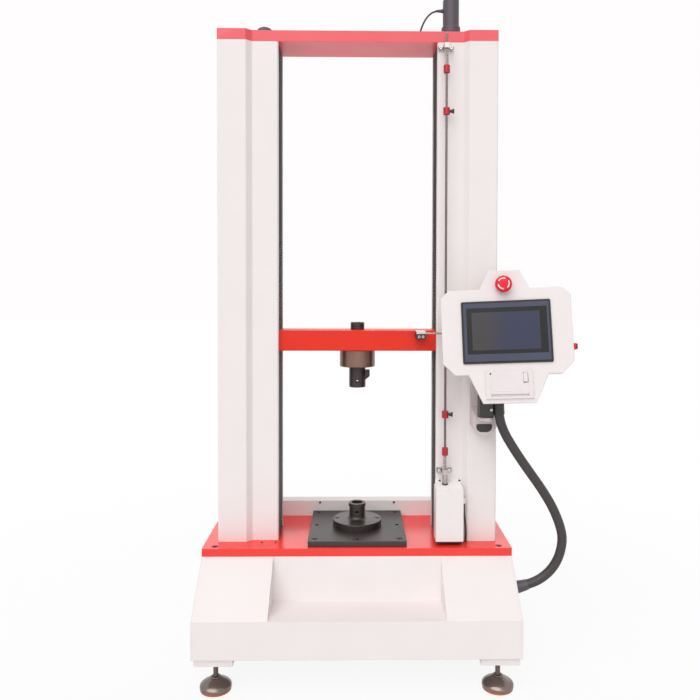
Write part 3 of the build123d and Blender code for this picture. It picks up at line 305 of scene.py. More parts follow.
bellows_cloth = surface(
    "polyurethane_cloth_black", "#453D3D", "#3B3434", 0.72, grain=1.5, relief=0.3, edge=0.4, ior=1.5
)
drive_cast = surface("aluminium_cast_grey", "#7C7E83", "#6C6E74", 0.5, 0.6, grain=2.0, relief=0.25, edge=1.0)
print("materials", len(bpy.data.materials))

# %% [markdown]
# The solids whose shape is already right only change their finish. One table says which solid is made of what.

# %% Finishes of the solids that stay
WEARS = {
    powder_white: "base_frame front_cover side_panels rear_cover left_column_cover right_column_cover "
                  "limit_switch_box",
    powder_white_painted_shade: "panel_shell panel_back",
    enamel_red: "base_plate",
    enamel_red_painted_sheen: "top_plate",
    enamel_crosshead: "crosshead",
    anodised_red: "rod_collars upper_stop_collar lower_stop_collar",
    black_oxide: "table_plate trip_bracket plate_screws",
    turned_black: "lower_adapter upper_adapter load_cell_bolt",
    turned_steel_painted_reflection: "load_cell",
    ground_steel: "guide_posts left_ball_screw right_ball_screw nuts_and_bushes screw_bearings trip_rod",
    polished_steel_painted_reflection: "limit_rod",
    zinc_plate: "rod_guides",
    black_abs: "bearing_cap encoder hose_gland",
    knob_abs: "mount_insert drive_belt swivel_knuckle",
    grey_abs: "panel_mount",
    white_abs: "printer_frame printer_door",
    bezel_abs: "screen_bezel",
    rim_abs: "screen_rim",
    drive_cast: "drive_motor control_unit",
}
for material, names in WEARS.items():
    for name in names.split():
        for slot in NODES[name].material_slots:
            slot.material = material
print("finishes given to solids", len(WEARS))

# %% [markdown]
# The hose and the two cables are flexible, so each is one smooth NURBS line through the same route points as its
# solid, in millimetres here. The line is the tube's centre. The thin cables stay curves with a round bevel.

# %% Cord helpers
def route_curve(name, points, radius):
    """NURBS line with the route's points as control points."""
    data = bpy.data.curves.new(name, "CURVE")
    data.dimensions = "3D"
    spline = data.splines.new("NURBS")
    spline.points.add(len(points) - 1)
    for knot, p in zip(spline.points, points):
        knot.co = (*[c * MM for c in p], 1)
    spline.order_u = 3
    spline.use_endpoint_u = True
    spline.resolution_u = 16
    data.bevel_depth = radius * MM
    data.bevel_resolution = 6
    data.use_fill_caps = True
    return placed(name, data)


def path_of(points):
    """Points in metres along the line that a route gives."""
    bare = route_curve("bare", points, 0)
    path = [v.co.copy() for v in as_mesh(bare).vertices]
    bpy.data.objects.remove(bare)
    return path


def length_of(points):
    """Length of a line through points."""
    return sum((b - a).length for a, b in zip(points, points[1:]))


# %% Encoder cable and limit cable
CABLES = {
    "encoder_cable": (2.4, [
        (221, 0, 1375), (204, 0, 1375), (187, 0, 1364), (174, 0, 1344), (165, 0, 1320), (160, 0, 1295),
    ]),
    "limit_cable": (2.5, [
        (275.5, -86, 84), (275.5, -86, 64), (278.5, -87, 36), (280.5, -88, 8), (279.5, -87.5, -16),
    ]),
}
for name, (radius, points) in CABLES.items():
    cable = route_curve(name + "_jacket", points, radius)
    cable.data.materials.append(hose_pvc)
    path = path_of(points)
    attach(cable, "machine_frame")
    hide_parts(name)
    print(name, round(length_of(path), 4))

# %% [markdown]
# The hose hangs from a fitting under the panel's knuckle to a gland on the cabinet's side. It is made a mesh:
# Geometry Nodes sweep a circle along the line that the NURBS route gives.

# %% Geometry Nodes helpers
def geometry_tree(name, **inputs):
    """Empty tree with a geometry input and named inputs; returns the tree and the sockets by name."""
    tree = bpy.data.node_groups.new(name, "GeometryNodeTree")
    kinds = {int: "NodeSocketInt", float: "NodeSocketFloat", bpy.types.Material: "NodeSocketMaterial",
             bpy.types.Object: "NodeSocketObject", Vector: "NodeSocketVector"}
    tree.interface.new_socket("Geometry", in_out="INPUT", socket_type="NodeSocketGeometry")
    tree.interface.new_socket("Geometry", in_out="OUTPUT", socket_type="NodeSocketGeometry")
    for label, kind in inputs.items():
        tree.interface.new_socket(label, in_out="INPUT", socket_type=kinds[kind])
    return tree, put(tree, "NodeGroupInput").outputs


def close_tree(tree, geometry, material, smooth=True):
    """Ends a tree with real, painted faces, all of them smooth or shaded as they came."""
    faces = put(tree, "GeometryNodeRealizeInstances", {"Geometry": geometry})
    if smooth:
        faces = put(tree, "GeometryNodeSetShadeSmooth", {"Geometry": faces.outputs[0]})
    painted = put(tree, "GeometryNodeSetMaterial", {"Geometry": faces.outputs[0], "Material": material})
    put(tree, "NodeGroupOutput", {"Geometry": painted.outputs[0]})


def grow(name, tree, base=None, thickness=0.0, **values):
    """Runs a tree on a mesh and keeps the result as a plain mesh object."""
    made = placed(name, base or bpy.data.meshes.new(name))
    nodes = made.modifiers.new("nodes", "NODES")
    nodes.node_group = tree
    for item in tree.interface.items_tree:
        if item.in_out == "INPUT" and item.name in values:
            nodes[item.identifier] = values[item.name]
    if thickness:
        wall = made.modifiers.new("wall", "SOLIDIFY")
        wall.thickness = thickness
        wall.offset = 0
    mesh = as_mesh(made)
    made.modifiers.clear()
    made.data = mesh
    return made


def points_mesh(name, points, line=False):
    """Loose points in metres, or a line through them."""
    mesh = bpy.data.meshes.new(name)
    mesh.from_pydata(points, [(i, i + 1) for i in range(len(points) - 1)] if line else [], [])
    return mesh


# %% Hose
hose_tree, socket = geometry_tree("swept_hose", Radius=float, Sides=int, Material=bpy.types.Material)
line = put(hose_tree, "GeometryNodeMeshToCurve", {"Mesh": socket["Geometry"]})
ring = put(hose_tree, "GeometryNodeCurvePrimitiveCircle", {"Resolution": socket["Sides"], "Radius": socket["Radius"]})
tube = put(
    hose_tree, "GeometryNodeCurveToMesh",
    {"Curve": line.outputs[0], "Profile Curve": ring.outputs["Curve"], "Fill Caps": True},
)
close_tree(hose_tree, tube.outputs[0], socket["Material"])

HOSE_R = 11.5
HOSE_ROUTE = [
    (346, -172, 358), (346, -172, 330), (356.96, -171, 290), (385.01, -169, 243), (418.04, -166, 195),
    (456.06, -162, 143), (488.93, -158, 89), (512, -153, 28), (510, -149, -14), (497.5, -146, -50.5),
    (473.5, -143, -81), (439.2, -141, -102.5), (399.5, -140, -112.3),
]
hose_path = path_of(HOSE_ROUTE)
hose = grow(
    "hose_tube", hose_tree, points_mesh("hose_line", hose_path, line=True),
    Radius=HOSE_R * MM, Sides=32, Material=hose_pvc,
)
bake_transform(hose)
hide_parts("hose")
print("hose", round(length_of(hose_path), 4), len(hose.data.polygons), "faces")

# %% [markdown]
# The slots in the columns are closed by bellows, a strip of coated cloth in sharp pleats that folds up on the side the
# crosshead moves to. A rule makes the shape: a vertical line is divided, every second point is pulled in, the folds are
# rounded, and the zigzag is drawn out to the strip's width. Each strip has enough cloth for the crosshead's whole
# stroke.

# %% Bellows
pleat_tree, socket = geometry_tree(
    "pleated_strip", Height=float, Pleats=int, Depth=float, Width=float, Fold=float, Material=bpy.types.Material
)
top = put(pleat_tree, "ShaderNodeCombineXYZ", {"Z": socket["Height"]})
upright = put(pleat_tree, "GeometryNodeCurvePrimitiveLine", {"End": top.outputs[0]})
twice = put(pleat_tree, "ShaderNodeMath", {0: socket["Pleats"], 1: 2.0, 2: 1.0}, operation="MULTIPLY_ADD")
divided = put(pleat_tree, "GeometryNodeResampleCurve", {"Curve": upright.outputs[0], "Count": twice.outputs[0]})
odd = put(
    pleat_tree, "ShaderNodeMath", {0: put(pleat_tree, "GeometryNodeInputIndex").outputs[0], 1: 2.0}, operation="MODULO"
)
pull = put(pleat_tree, "ShaderNodeMath", {0: odd.outputs[0], 1: socket["Depth"]}, operation="MULTIPLY")
inward = put(pleat_tree, "ShaderNodeCombineXYZ", {"X": pull.outputs[0]})
zigzag = put(
    pleat_tree, "GeometryNodeSetPosition", {"Geometry": divided.outputs[0], "Offset": inward.outputs[0]}
)
rounded = put(
    pleat_tree, "GeometryNodeFilletCurve",
    {"Curve": zigzag.outputs[0], "Radius": socket["Fold"], "Count": 2, "Limit Radius": True}, mode="POLY",
)
edge = put(pleat_tree, "GeometryNodeCurveToMesh", {"Curve": rounded.outputs[0]})
across = put(pleat_tree, "ShaderNodeCombineXYZ", {"Y": socket["Width"]})
strip = put(
    pleat_tree, "GeometryNodeExtrudeMesh", {"Mesh": edge.outputs[0], "Offset": across.outputs[0], "Offset Scale": 1.0},
    mode="EDGES",
)
close_tree(pleat_tree, strip.outputs[0], socket["Material"])

SLOT_X = 205.2
STRIP_Y = -54.0
STRIP_W = 95.0
PLEAT_DEPTH = 6.2
FOLD_R = 0.7
CLOTH = 0.9
STRIPS = {"upper": (528.0, 1268.0, 100), "lower": (-15.0, 475.0, 68)}    # low, high, number of pleats
for end, (low, high, pleats) in STRIPS.items():
    for side, mirror in (("left", -1), ("right", 1)):
        strip = grow(
            f"{end}_{side}_bellows", pleat_tree, thickness=CLOTH * MM, Height=(high - low) * MM, Pleats=pleats,
            Depth=PLEAT_DEPTH * MM, Width=STRIP_W * MM, Fold=FOLD_R * MM, Material=bellows_cloth,
        )
        strip.data.transform(Matrix.Translation((SLOT_X * MM, STRIP_Y * MM, low * MM)))
        strip.data.transform(Matrix.Diagonal((mirror, 1, 1, 1)))
        face_outwards(strip.data)
        held, carried = (high, low) if end == "upper" else (low, high)
        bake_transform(strip)
        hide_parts(f"{end}_bellows")

# %% [markdown]
# Two compression springs hold the limit rod in its middle place. A spring is a wire along a helix, and so is the thread
# of a levelling foot's stud, so one tree with a Spiral curve makes both.

# %% Coil tree and rod springs
coil_tree, socket = geometry_tree(
    "wire_coil", Radius=float, Height=float, Turns=float, Wire=float, Steps=int, Sides=int,
    Material=bpy.types.Material,
)
spiral = put(
    coil_tree, "GeometryNodeCurveSpiral",
    {"Resolution": socket["Steps"], "Rotations": socket["Turns"], "Start Radius": socket["Radius"],
     "End Radius": socket["Radius"], "Height": socket["Height"]},
)
wire = put(coil_tree, "GeometryNodeCurvePrimitiveCircle", {"Resolution": socket["Sides"], "Radius": socket["Wire"]})
coil = put(
    coil_tree, "GeometryNodeCurveToMesh",
    {"Curve": spiral.outputs[0], "Profile Curve": wire.outputs["Curve"], "Fill Caps": True},
)
close_tree(coil_tree, coil.outputs[0], socket["Material"])

ROD = (224.5, -96.0)
COIL_R, COIL_TURNS, WIRE = 4.3, 9.0, 0.85
SPRINGS = {"upper_spring": (1203.0, 1245.0), "lower_spring": (211.0, 175.0)}    # heights of the ends on rod and frame
for name, (carried, held) in SPRINGS.items():
    low, high = sorted((carried, held))
    spring = grow(
        name, coil_tree, Radius=COIL_R * MM, Height=(high - low - 2 * WIRE) * MM, Turns=COIL_TURNS, Wire=WIRE * MM,
        Steps=24, Sides=8, Material=zinc_bright,
    )
    spring.data.transform(Matrix.Translation((ROD[0] * MM, ROD[1] * MM, (low + WIRE) * MM)))
    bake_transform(spring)
    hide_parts("rod_springs")
    print(name, len(spring.data.polygons), "faces")

# %% [markdown]
# Turned pieces come from rings of points, each ring joined to the next, so a profile can be smooth and a rim can be
# knurled. The helper puts the finished mesh in place, turns its faces outwards and keeps real corners sharp.

# %% Mesh helpers
SAME_POINT = 1e-6


def solid(name, verts, faces, material, body, slot=None, sharp=0.6):
    """Closed mesh piece that rides on a body; edges sharper than an angle in radians stay sharp."""
    mesh = bpy.data.meshes.new(name)
    mesh.from_pydata(verts, [], faces)
    face_outwards(mesh, SAME_POINT)
    mesh.shade_smooth()
    mesh.set_sharp_from_angle(angle=sharp)
    mesh.materials.append(material)
    made = placed(name, mesh)
    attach(made, body)
    return made


def joined(rings, caps=True):
    """Verts and faces of a stack of equal rings, closed at both ends or left open."""
    n = len(rings[0])
    verts = [p for ring in rings for p in ring]
    faces = [
        (k * n + i, k * n + (i + 1) % n, (k + 1) * n + (i + 1) % n, (k + 1) * n + i)
        for k in range(len(rings) - 1) for i in range(n)
    ]
    if caps:
        faces.append(tuple(range(n)))
        faces.append(tuple(range((len(rings) - 1) * n, len(rings) * n)))
    return verts, faces


def rings_of(profile, place, sides=64, knurl=0, depth=0.0):
    """Rings of a turned profile of (radius, height) in millimetres; place takes local millimetres to the frame."""
    made = []
    for r, h in profile:
        radii = [r - (depth if knurl and r > depth and (i * knurl * 2 // sides) % 2 else 0) for i in range(sides)]
        made.append([
            place @ Vector((q * cos(tau * i / sides), q * sin(tau * i / sides), h)) for i, q in enumerate(radii)
        ])
    return made


def axis_place(origin, direction):
    """Matrix from millimetres along +Z to metres along a direction."""
    spin = Vector(direction).to_track_quat("Z", "Y").to_matrix().to_4x4()
    return Matrix.Translation(Vector(origin) * MM) @ spin @ Matrix.Scale(MM, 4)


# %% [markdown]
# A levelling foot is a domed, polished steel disc on an orange rubber sole, with a threaded stud and a thin hexagon at
# its neck for the spanner. The stud screws into the block under the frame, so each foot moves as one.

# %% Levelling feet
FLOOR = -324.0
SOLE = [(0.01, 0), (34.5, 0), (36.6, 0.8), (37, 3), (36.6, 5.2), (34.5, 5.6), (0.01, 5.6)]
DISC = [
    (0.01, 5.4), (37, 5.4), (38, 6.4), (38, 10.6), (37.6, 12.6), (35.8, 15.2), (32, 18.2), (27, 21.2), (22, 24),
    (17.5, 26.6), (14, 28.8), (12.4, 30), (5.2, 30), (0.01, 30),
]
HEXAGON = [(4, 28.4), (11.4, 28.4), (12.6, 29.2), (12.6, 32), (11.4, 32.8), (4, 32.8)]
STUD_TOP = 119.0
STUD = [(0.01, 30), (5.7, 30), (5.7, STUD_TOP - 1), (4.9, STUD_TOP), (0.01, STUD_TOP)]
THREAD_LOW, THREAD_H, THREAD_TURNS = 34, 84, 48.0
THREAD_R, RIDGE = 5.6, 0.5
FOOT_X, FRONT_Y, REAR_Y = 339, -215, 119
FEET = {
    "front_left": ("foot_fl", -FOOT_X, FRONT_Y), "front_right": ("foot_fr", FOOT_X, FRONT_Y),
    "rear_left": ("foot_rl", -FOOT_X, REAR_Y), "rear_right": ("foot_rr", FOOT_X, REAR_Y),
}
for name, (body, x, y) in FEET.items():
    place = axis_place((x, y, FLOOR), (0, 0, 1))
    solid(f"{name}_sole", *joined(rings_of(SOLE, place)), sole_rubber, body)
    disc = solid(f"{name}_disc", *joined(rings_of(DISC, place)), foot_steel, body, "ground_steel", sharp=0.7)
    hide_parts(f"{name}_foot")
    solid(f"{name}_stud", *joined(rings_of(STUD, place, 32)), stud_steel_dark, body, "ground_steel")
    solid(f"{name}_hexagon", *joined(rings_of(HEXAGON, place, 6)), foot_steel, body, "ground_steel", sharp=0.3)
    thread = grow(
        f"{name}_thread", coil_tree, Radius=THREAD_R * MM, Height=THREAD_H * MM, Turns=THREAD_TURNS, Wire=RIDGE * MM,
        Steps=16, Sides=4, Material=stud_steel_dark,
    )
    thread.data.transform(Matrix.Translation((x * MM, y * MM, (FLOOR + THREAD_LOW) * MM)))
    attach(thread, body)
print("feet", len(FEET))

# %% [markdown]
# Screws hold the sheet metal everywhere. A screw head is modelled once, round with a hexagon socket, and Geometry Nodes
# set it on a list of points, all turned the same way. One call makes one set on one body.

# %% Screw heads
screw_tree, socket = geometry_tree(
    "screw_set", Head=bpy.types.Object, Turn=Vector, Material=bpy.types.Material
)
shape = put(screw_tree, "GeometryNodeObjectInfo", {"Object": socket["Head"]})
spread = put(
    screw_tree, "GeometryNodeInstanceOnPoints",
    {"Points": socket["Geometry"], "Instance": shape.outputs["Geometry"], "Rotation": socket["Turn"]},
)
close_tree(screw_tree, spread.outputs[0], socket["Material"], smooth=False)

SIDES = 24
SOCKET = 0.48    # half the socket's width, as a share of the head's radius


def hexagon_ring(apothem, height):
    """Ring of points on a hexagon, as many as a head's circle has."""
    angles = [tau * i / SIDES for i in range(SIDES)]
    reach = [apothem / cos(a % (pi / 3) - pi / 6) for a in angles]
    return [Vector((r * cos(a), r * sin(a), height)) * MM for r, a in zip(reach, angles)]


def screws(name, points, facing, radius, height, material, body):
    """Set of equal screw heads at points in millimetres."""
    outside = [(radius, 0), (radius, height * 0.8), (radius * 0.86, height)]
    rings = rings_of(outside, Matrix.Scale(MM, 4), SIDES)
    rings += [hexagon_ring(radius * SOCKET, height), hexagon_ring(radius * SOCKET, height * 0.4)]
    verts, faces = joined(rings)
    mesh = bpy.data.meshes.new("head")
    mesh.from_pydata(verts, [], faces)
    face_outwards(mesh)
    mesh.shade_smooth()
    mesh.set_sharp_from_angle(angle=0.5)
    head = placed("head", mesh)
    made = grow(
        name, screw_tree, points_mesh(name, [Vector(p) * MM for p in points]), Head=head,
        Turn=list(Vector(facing).to_track_quat("Z", "Y").to_euler()), Material=material,
    )
    bpy.data.objects.remove(head)
    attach(made, body)
    print(name, len(points), "screws")
    return made


# %% [markdown]
# The guides of the limit rod are held by four bright screws with dark washers; the washers are also painted shade round
# the heads. The upstand is held by two small dark ones. The columns and covers have rows of screws at the back and
# sides, where nobody sees the joint from the front. The table gives each set its points in millimetres, the way its
# heads face, their radius, height and finish, and the body.

# %% Sets of screws
TO_FRONT, TO_BACK, UPWARDS = (0, -1, 0), (0, 1, 0), (0, 0, 1)
SIGNS = (-1, 1)
COVER_HEAD = (4.0, 2.6, zinc_plate)
GUIDES = [(x, z) for x in (ROD[0] - 13.5, ROD[0] + 13.5) for z in (1251.5, 168.5)]
SIDE_ROWS = ((-238, -215), (146, -215), (-238, -156), (146, -52), (-112, -52))
SCREW_SETS = {
    "guide_screws": ([(x, -76.5, z) for x, z in GUIDES], TO_FRONT, 4.6, 5.5, zinc_bright, "machine_frame"),
    # dark washers under the bright heads: partly real washers, partly painted shade round the heads
    "guide_washers": ([(x, -76.4, z) for x, z in GUIDES], TO_FRONT, 5.7, 1.6, black_oxide, "machine_frame"),
    "upstand_screws": ([(x, 126, 23) for x in (-106, 106)], TO_FRONT, 3.2, 2.2, black_oxide, "machine_frame"),
    "column_foot_screws": (
        [(x, -90, -15) for x in (-245, -209, 209, 245)], UPWARDS, 2.8, 1.6, black_oxide, "machine_frame",
    ),
    "column_back_screws": (
        [(side * x, 50, z) for side in SIGNS for x in (216, 346) for z in range(60, 1261, 240)], TO_BACK, *COVER_HEAD,
        "machine_frame",
    ),
    "rear_cover_screws": (
        [(x, 164, z) for x in (-370, -185, 0, 185, 370) for z in (-215, 8)], TO_BACK, *COVER_HEAD, "machine_frame",
    ),
    "side_panel_screws_left": ([(-390, y, z) for y, z in SIDE_ROWS], (-1, 0, 0), *COVER_HEAD, "machine_frame"),
    "side_panel_screws_right": ([(390, y, z) for y, z in SIDE_ROWS], (1, 0, 0), *COVER_HEAD, "machine_frame"),
    "top_plate_screws": (
        [(side * x, y, 1296) for side in SIGNS for x in (296, 338) for y in (-58, 28)], UPWARDS, 6.0, 5.0, black_oxide,
        "machine_frame",
    ),
    "trip_screws": ([(x, -95, 514.5) for x in (157, 167)], TO_FRONT, 3.5, 3.4, zinc_bright, "crosshead_group"),
    "knuckle_screw": ([(326.5, -179.8, 341.7)], TO_FRONT, 3.8, 3.0, zinc_plate, "knuckle"),
    "collar_set_screws": (
        [(ROD[0], -103.4, z) for z in (1193, 221)], TO_FRONT, 2.0, 0.9, black_oxide, "limit_rod_group",
    ),
}
screw_sets = {name: screws(name, *facts) for name, facts in SCREW_SETS.items()}
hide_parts("cover_screws")

# %% [markdown]
# Thumbscrews clamp the two stops on the rod. Each is a small moulded knob that flares outwards and has a fluted rim, so
# its ring of points steps in and out.

# %% Thumbscrews
THUMB = [
    (0.01, 0), (2.4, 0), (2.4, 3.4), (3.2, 4), (3.6, 6.5), (4.8, 10), (6.1, 12.6), (6.4, 13.2), (6.4, 14.4), (5.6, 15),
    (0.01, 15),
]
for end in ("upper", "lower"):
    low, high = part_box(f"{end}_thumbscrew")
    middle = (Vector(low) + Vector(high)) / 2 / MM
    place = axis_place((low[0] / MM, middle.y, middle.z), (1, 0, 0))
    knob = solid(
        f"{end}_knob_fluted", *joined(rings_of(THUMB, place, 48, knurl=12, depth=0.45)), knob_abs, f"{end}_knob",
        "black_plastic",
    )
    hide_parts(f"{end}_thumbscrew")
    print(end, "thumbscrew", [round(c) for c in middle])

# %% [markdown]
# A cord needs a tapered sleeve where it leaves a housing, or it would break there. Such a sleeve is a row of rings
# round the first stretch of the cord's own line, one radius for each point.

# %% Sleeves of the hose and the encoder cable
def sleeve(name, points, radii, material, body, slot):
    """Rings round a stretch of a path in metres."""
    ways = [(b - a).normalized() for a, b in zip(points, points[1:])]
    ways.append(ways[-1])
    rings = [rings_of([(r, 0)], axis_place(p / MM, way), 32)[0] for p, way, r in zip(points, ways, radii)]
    return solid(name, *joined(rings), material, body, slot)


def stretch(path, length):
    """Points of a path up to a length in millimetres."""
    kept = [path[0]]
    for p in path[1:]:
        kept.append(p)
        if length_of(kept) > length * MM:
            break
    return kept


TOP_SLEEVE, GLAND_SLEEVE = 28, 26    # lengths in millimetres
GLAND_R, GLAND_TAPER = 15.4, 2.8     # radius at the gland, and what it loses along the sleeve
upper = stretch(hose_path, TOP_SLEEVE)
sleeve("hose_top_sleeve", upper, [12.6] + [13.6] * (len(upper) - 2) + [12.4], knob_abs, "knuckle", "black_plastic")
lower = stretch(hose_path[::-1], GLAND_SLEEVE)
taper = [GLAND_R - GLAND_TAPER * k / (len(lower) - 1) for k in range(len(lower))]
sleeve("hose_gland_sleeve", lower, taper, black_abs, "machine_frame", "black_plastic")
BOOT = [(0.01, 0), (5.2, 0), (5.4, 1), (5.4, 4), (4.6, 5), (4.2, 9), (3.4, 16), (3.0, 20), (2.5, 20.6), (0.01, 20.6)]
boot_place = axis_place((227, 0, 1375), (-1, 0, 0))
solid("encoder_boot", *joined(rings_of(BOOT, boot_place, 32)), black_abs, "machine_frame", "black_plastic")
print("sleeves", len(upper), len(lower), "rings")

# %% [markdown]
# The control panel is turned and tipped towards the operator. Its own axes are u to the right, v up the face and w out
# of it, so pieces on it are laid out flat in millimetres and one matrix puts them in place.

# %% Panel axes and plates
FRONT = Matrix(((1, 0, 0, 0), (0, 0, -1, 0), (0, 1, 0, 0), (0, 0, 0, 1))) @ Matrix.Scale(MM, 4)
PANEL_CENTRE = (353.3, -223.4, 535.7)
PANEL_TURNS = {"Z": -9.23, "X": -9.74, "Y": -2.73}    # degrees about each axis, in this order
PANEL = Matrix.Translation(Vector(PANEL_CENTRE) * MM)
for axis, degrees in PANEL_TURNS.items():
    PANEL = PANEL @ Matrix.Rotation(degrees * pi / 180, 4, axis)
PANEL = PANEL @ FRONT


def plate(name, outline, low, high, material, body, slot=None, round_off=0.4, place=PANEL, hole=None):
    """Flat plate with broken edges, with its outline's box as its UV map; a hole has as many points as the outline."""
    loops = [[Vector((u, v, w)) for u, v in outline] for w in (low, high)]
    if hole:
        loops += [[Vector((u, v, w)) for u, v in hole] for w in (high, low)]
        loops.append(loops[0])
    made = solid(name, *joined(loops, caps=not hole), material, body, slot)
    box = [min(c) for c in zip(*outline)], [max(c) for c in zip(*outline)]
    chart = made.data.uv_layers.new(name="face")
    for loop in made.data.loops:
        at = made.data.vertices[loop.vertex_index].co
        chart.data[loop.index].uv = [(at[i] - box[0][i]) / (box[1][i] - box[0][i]) for i in (0, 1)]
    made.data.transform(place)
    break_edges(made, round_off)
    return made


def rectangle(u, v, corner=2.0, upper=None, steps=4):
    """Rounded rectangle between low and high u and v; the upper corners may have their own radius."""
    upper = upper or corner
    centres = [(u[1] - upper, v[1] - upper, upper), (u[0] + upper, v[1] - upper, upper),
               (u[0] + corner, v[0] + corner, corner), (u[1] - corner, v[0] + corner, corner)]
    return [
        (x + r * cos((q + k / steps) * pi / 2), y + r * sin((q + k / steps) * pi / 2))
        for q, (x, y, r) in enumerate(centres) for k in range(steps + 1)
    ]


# %% [markdown]
# The touch screen is a sheet of glass with a black printed border. The display area behind it is drawn as a soft run
# from grey to blue. The glass is a plate with its own UV map, and both are drawn on that map.

# %% Display glass
glass = bpy.data.materials.new("display_glass")
glass.use_nodes = True
tree = glass.node_tree
shader = tree.nodes["Principled BSDF"]
shader.inputs["Roughness"].default_value = 0.16
shader.inputs["IOR"].default_value = 1.52
shader.inputs["Specular IOR Level"].default_value = 0.25
chart = put(tree, "ShaderNodeSeparateXYZ", {"Vector": put(tree, "ShaderNodeTexCoord").outputs["UV"]})
DISPLAY = {"X": (0.065, 0.91), "Y": (0.085, 0.905)}    # where the display lies on the glass's UV map
RUN = (0.22, 0.52)                                     # where grey turns to blue on it
inside = []
for axis, (first, last) in DISPLAY.items():
    reach = (last - first) / 2
    centred = put(tree, "ShaderNodeMath", {0: chart.outputs[axis], 1: first + reach}, operation="SUBTRACT")
    far = put(tree, "ShaderNodeMath", {0: centred.outputs[0]}, operation="ABSOLUTE")
    inside.append(put(tree, "ShaderNodeMath", {0: far.outputs[0], 1: reach}, operation="LESS_THAN").outputs[0])
display_area = put(tree, "ShaderNodeMath", {0: inside[0], 1: inside[1]}, operation="MULTIPLY")
run = put(
    tree, "ShaderNodeMapRange", {"Value": chart.outputs["X"], "From Min": RUN[0], "From Max": RUN[1]},
    interpolation_type="SMOOTHSTEP",
)
display_tone = put(tree, "ShaderNodeMix", {0: run.outputs[0], 6: hue("#403D40"), 7: hue("#33384F")}, data_type="RGBA")
drawn = put(tree, "ShaderNodeMix", {0: display_area.outputs[0], 6: hue("#181618"), 7: display_tone.outputs[2]}, data_type="RGBA")
tree.links.new(drawn.outputs[2], shader.inputs["Base Color"])
window = plate("display_window", rectangle((-93, 95), (-52, 58), 1.0), 3.6, 5.2, glass, "panel", "screen_black", 0.2)
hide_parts("screen_glass")
print("display window", [round(c, 3) for c in window.dimensions])

# %% [markdown]
# The emergency stop is a red mushroom on a plunger, with three white arrows that show which way it is turned to let it
# go. The head is turned from a rounded profile. The arrows are thin inlays that follow its crown.

# %% Emergency stop
ESTOP = (-2.5, 112.0)
estop_place = PANEL @ Matrix.Translation((*ESTOP, 0))
HEAD = [
    (0.01, -20), (10, -20), (10, 11), (11, 12.6), (14, 13.4), (18, 14.6), (19.5, 16), (20, 18), (20, 22.5),
    (19.5, 24.4), (18.3, 25.9), (16.5, 27), (13.5, 27.8), (8, 28.3), (0.01, 28.5),
]
head = solid("estop_head", *joined(rings_of(HEAD, estop_place, 96)), signal_abs, "estop", "signal_red")
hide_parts("estop_button")


def crown(r):
    """Height of the head's crown at a radius."""
    for (r1, h1), (r0, h0) in zip(HEAD[9:], HEAD[10:]):
        if r0 <= r <= r1:
            return h0 + (h1 - h0) * (r - r0) / (r1 - r0)
    return HEAD[-1][1]


ARC_R = 12.9
FIRST_ARROW = 2.63
PROUD, SUNK = 0.25, -0.6
SHAFT = [(0.14 * k, 1.35) for k in range(9)]          # angle from the tail, half the width
POINT = [(1.14, 2.2), (1.32, 1.2), (1.5, 0.1)]


def arrow(start):
    """Rings across one curved arrow, tail first, clockwise."""
    made = []
    for along, half in SHAFT + POINT:
        angle = start - along
        corners = [(ARC_R - half, PROUD), (ARC_R + half, PROUD), (ARC_R + half, SUNK), (ARC_R - half, SUNK)]
        made.append([
            estop_place @ Vector((r * cos(angle), r * sin(angle), crown(r) + up)) for r, up in corners
        ])
    return made


for k in range(3):
    solid(f"estop_arrow_{k}", *joined(arrow(FIRST_ARROW + k * tau / 3)), white_ink, "estop")
COLLAR = [(10.4, 0), (16.5, 0), (17, 0.6), (17, 3), (15.5, 4.4), (10.4, 4.4)]
# the dark collar is partly a real bezel and partly a painted shadow ring under the mushroom
solid(
    "estop_collar", *joined(rings_of(COLLAR + COLLAR[:1], estop_place), caps=False), rim_abs, "panel", "black_plastic"
)
print("emergency stop", len(head.data.polygons), "faces")

# %% [markdown]
# The printer's door has a lip that covers its gap, and a thin line pressed into it round a flat field. Lip and field
# are plates that stand a little proud, so the line is a real step. A small lever latches the door, and a dark lamp
# sits above its corner.

# %% Printer lip, field, lever and lamp
LIP = [
    (-42.2, -147), (44.2, -147), (44.2, -142.6), (44.6, -142.6), (44.6, -121.2), (33, -121.2), (33, -101.3),
    (-42.7, -101.3), (-42.7, -142.6), (-42.2, -142.6),
]
plate("printer_door_lip", LIP[::-1], 5.1, 5.9, white_abs, "door", "white_plastic", 0.3)
field = plate("printer_field", rectangle((-36, 29), (-141, -106.5)), 5.8, 6.2, white_abs, "door", "white_plastic", 0.2)
latch = plate(
    "printer_lever", rectangle((33.4, 43.1), (-119.2, -97.4)), 1.6, 6.2, white_abs, "latch", "white_plastic", 0.8
)
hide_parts("printer_latch")
lamp_place = PANEL @ Matrix.Translation((-42.5, -98.8, 0))
LAMP = [(0.01, 4), (2.1, 4), (2.1, 5.5), (1.6, 6), (0.01, 6.2)]
solid("printer_lamp", *joined(rings_of(LAMP, lamp_place, 24)), rim_abs, "panel", "black_plastic")
print("printer field", [round(c, 1) for c in field.dimensions])

# %% [markdown]
# On the panel's right side a red rocker sticks out of a dark frame. Its end is a dark tip, painted shade for the
# rocker's shaded edge. Seen from the front only its end shows behind the panel's edge. Its outline lies in the panel's
# side, so its matrix turns the panel's axes.

# %% Rocker switch
SIDE = PANEL @ Matrix(((0, 0, 1, 0), (1, 0, 0, 0), (0, 1, 0, 0), (0, 0, 0, 1)))
key = plate(
    "rocker_key", rectangle((-45.2, -30.8), (-31, -17), 1.4), 147, 161.5, signal_abs, "rocker", "signal_red", 0.8, SIDE
)
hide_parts("rocker_switch")
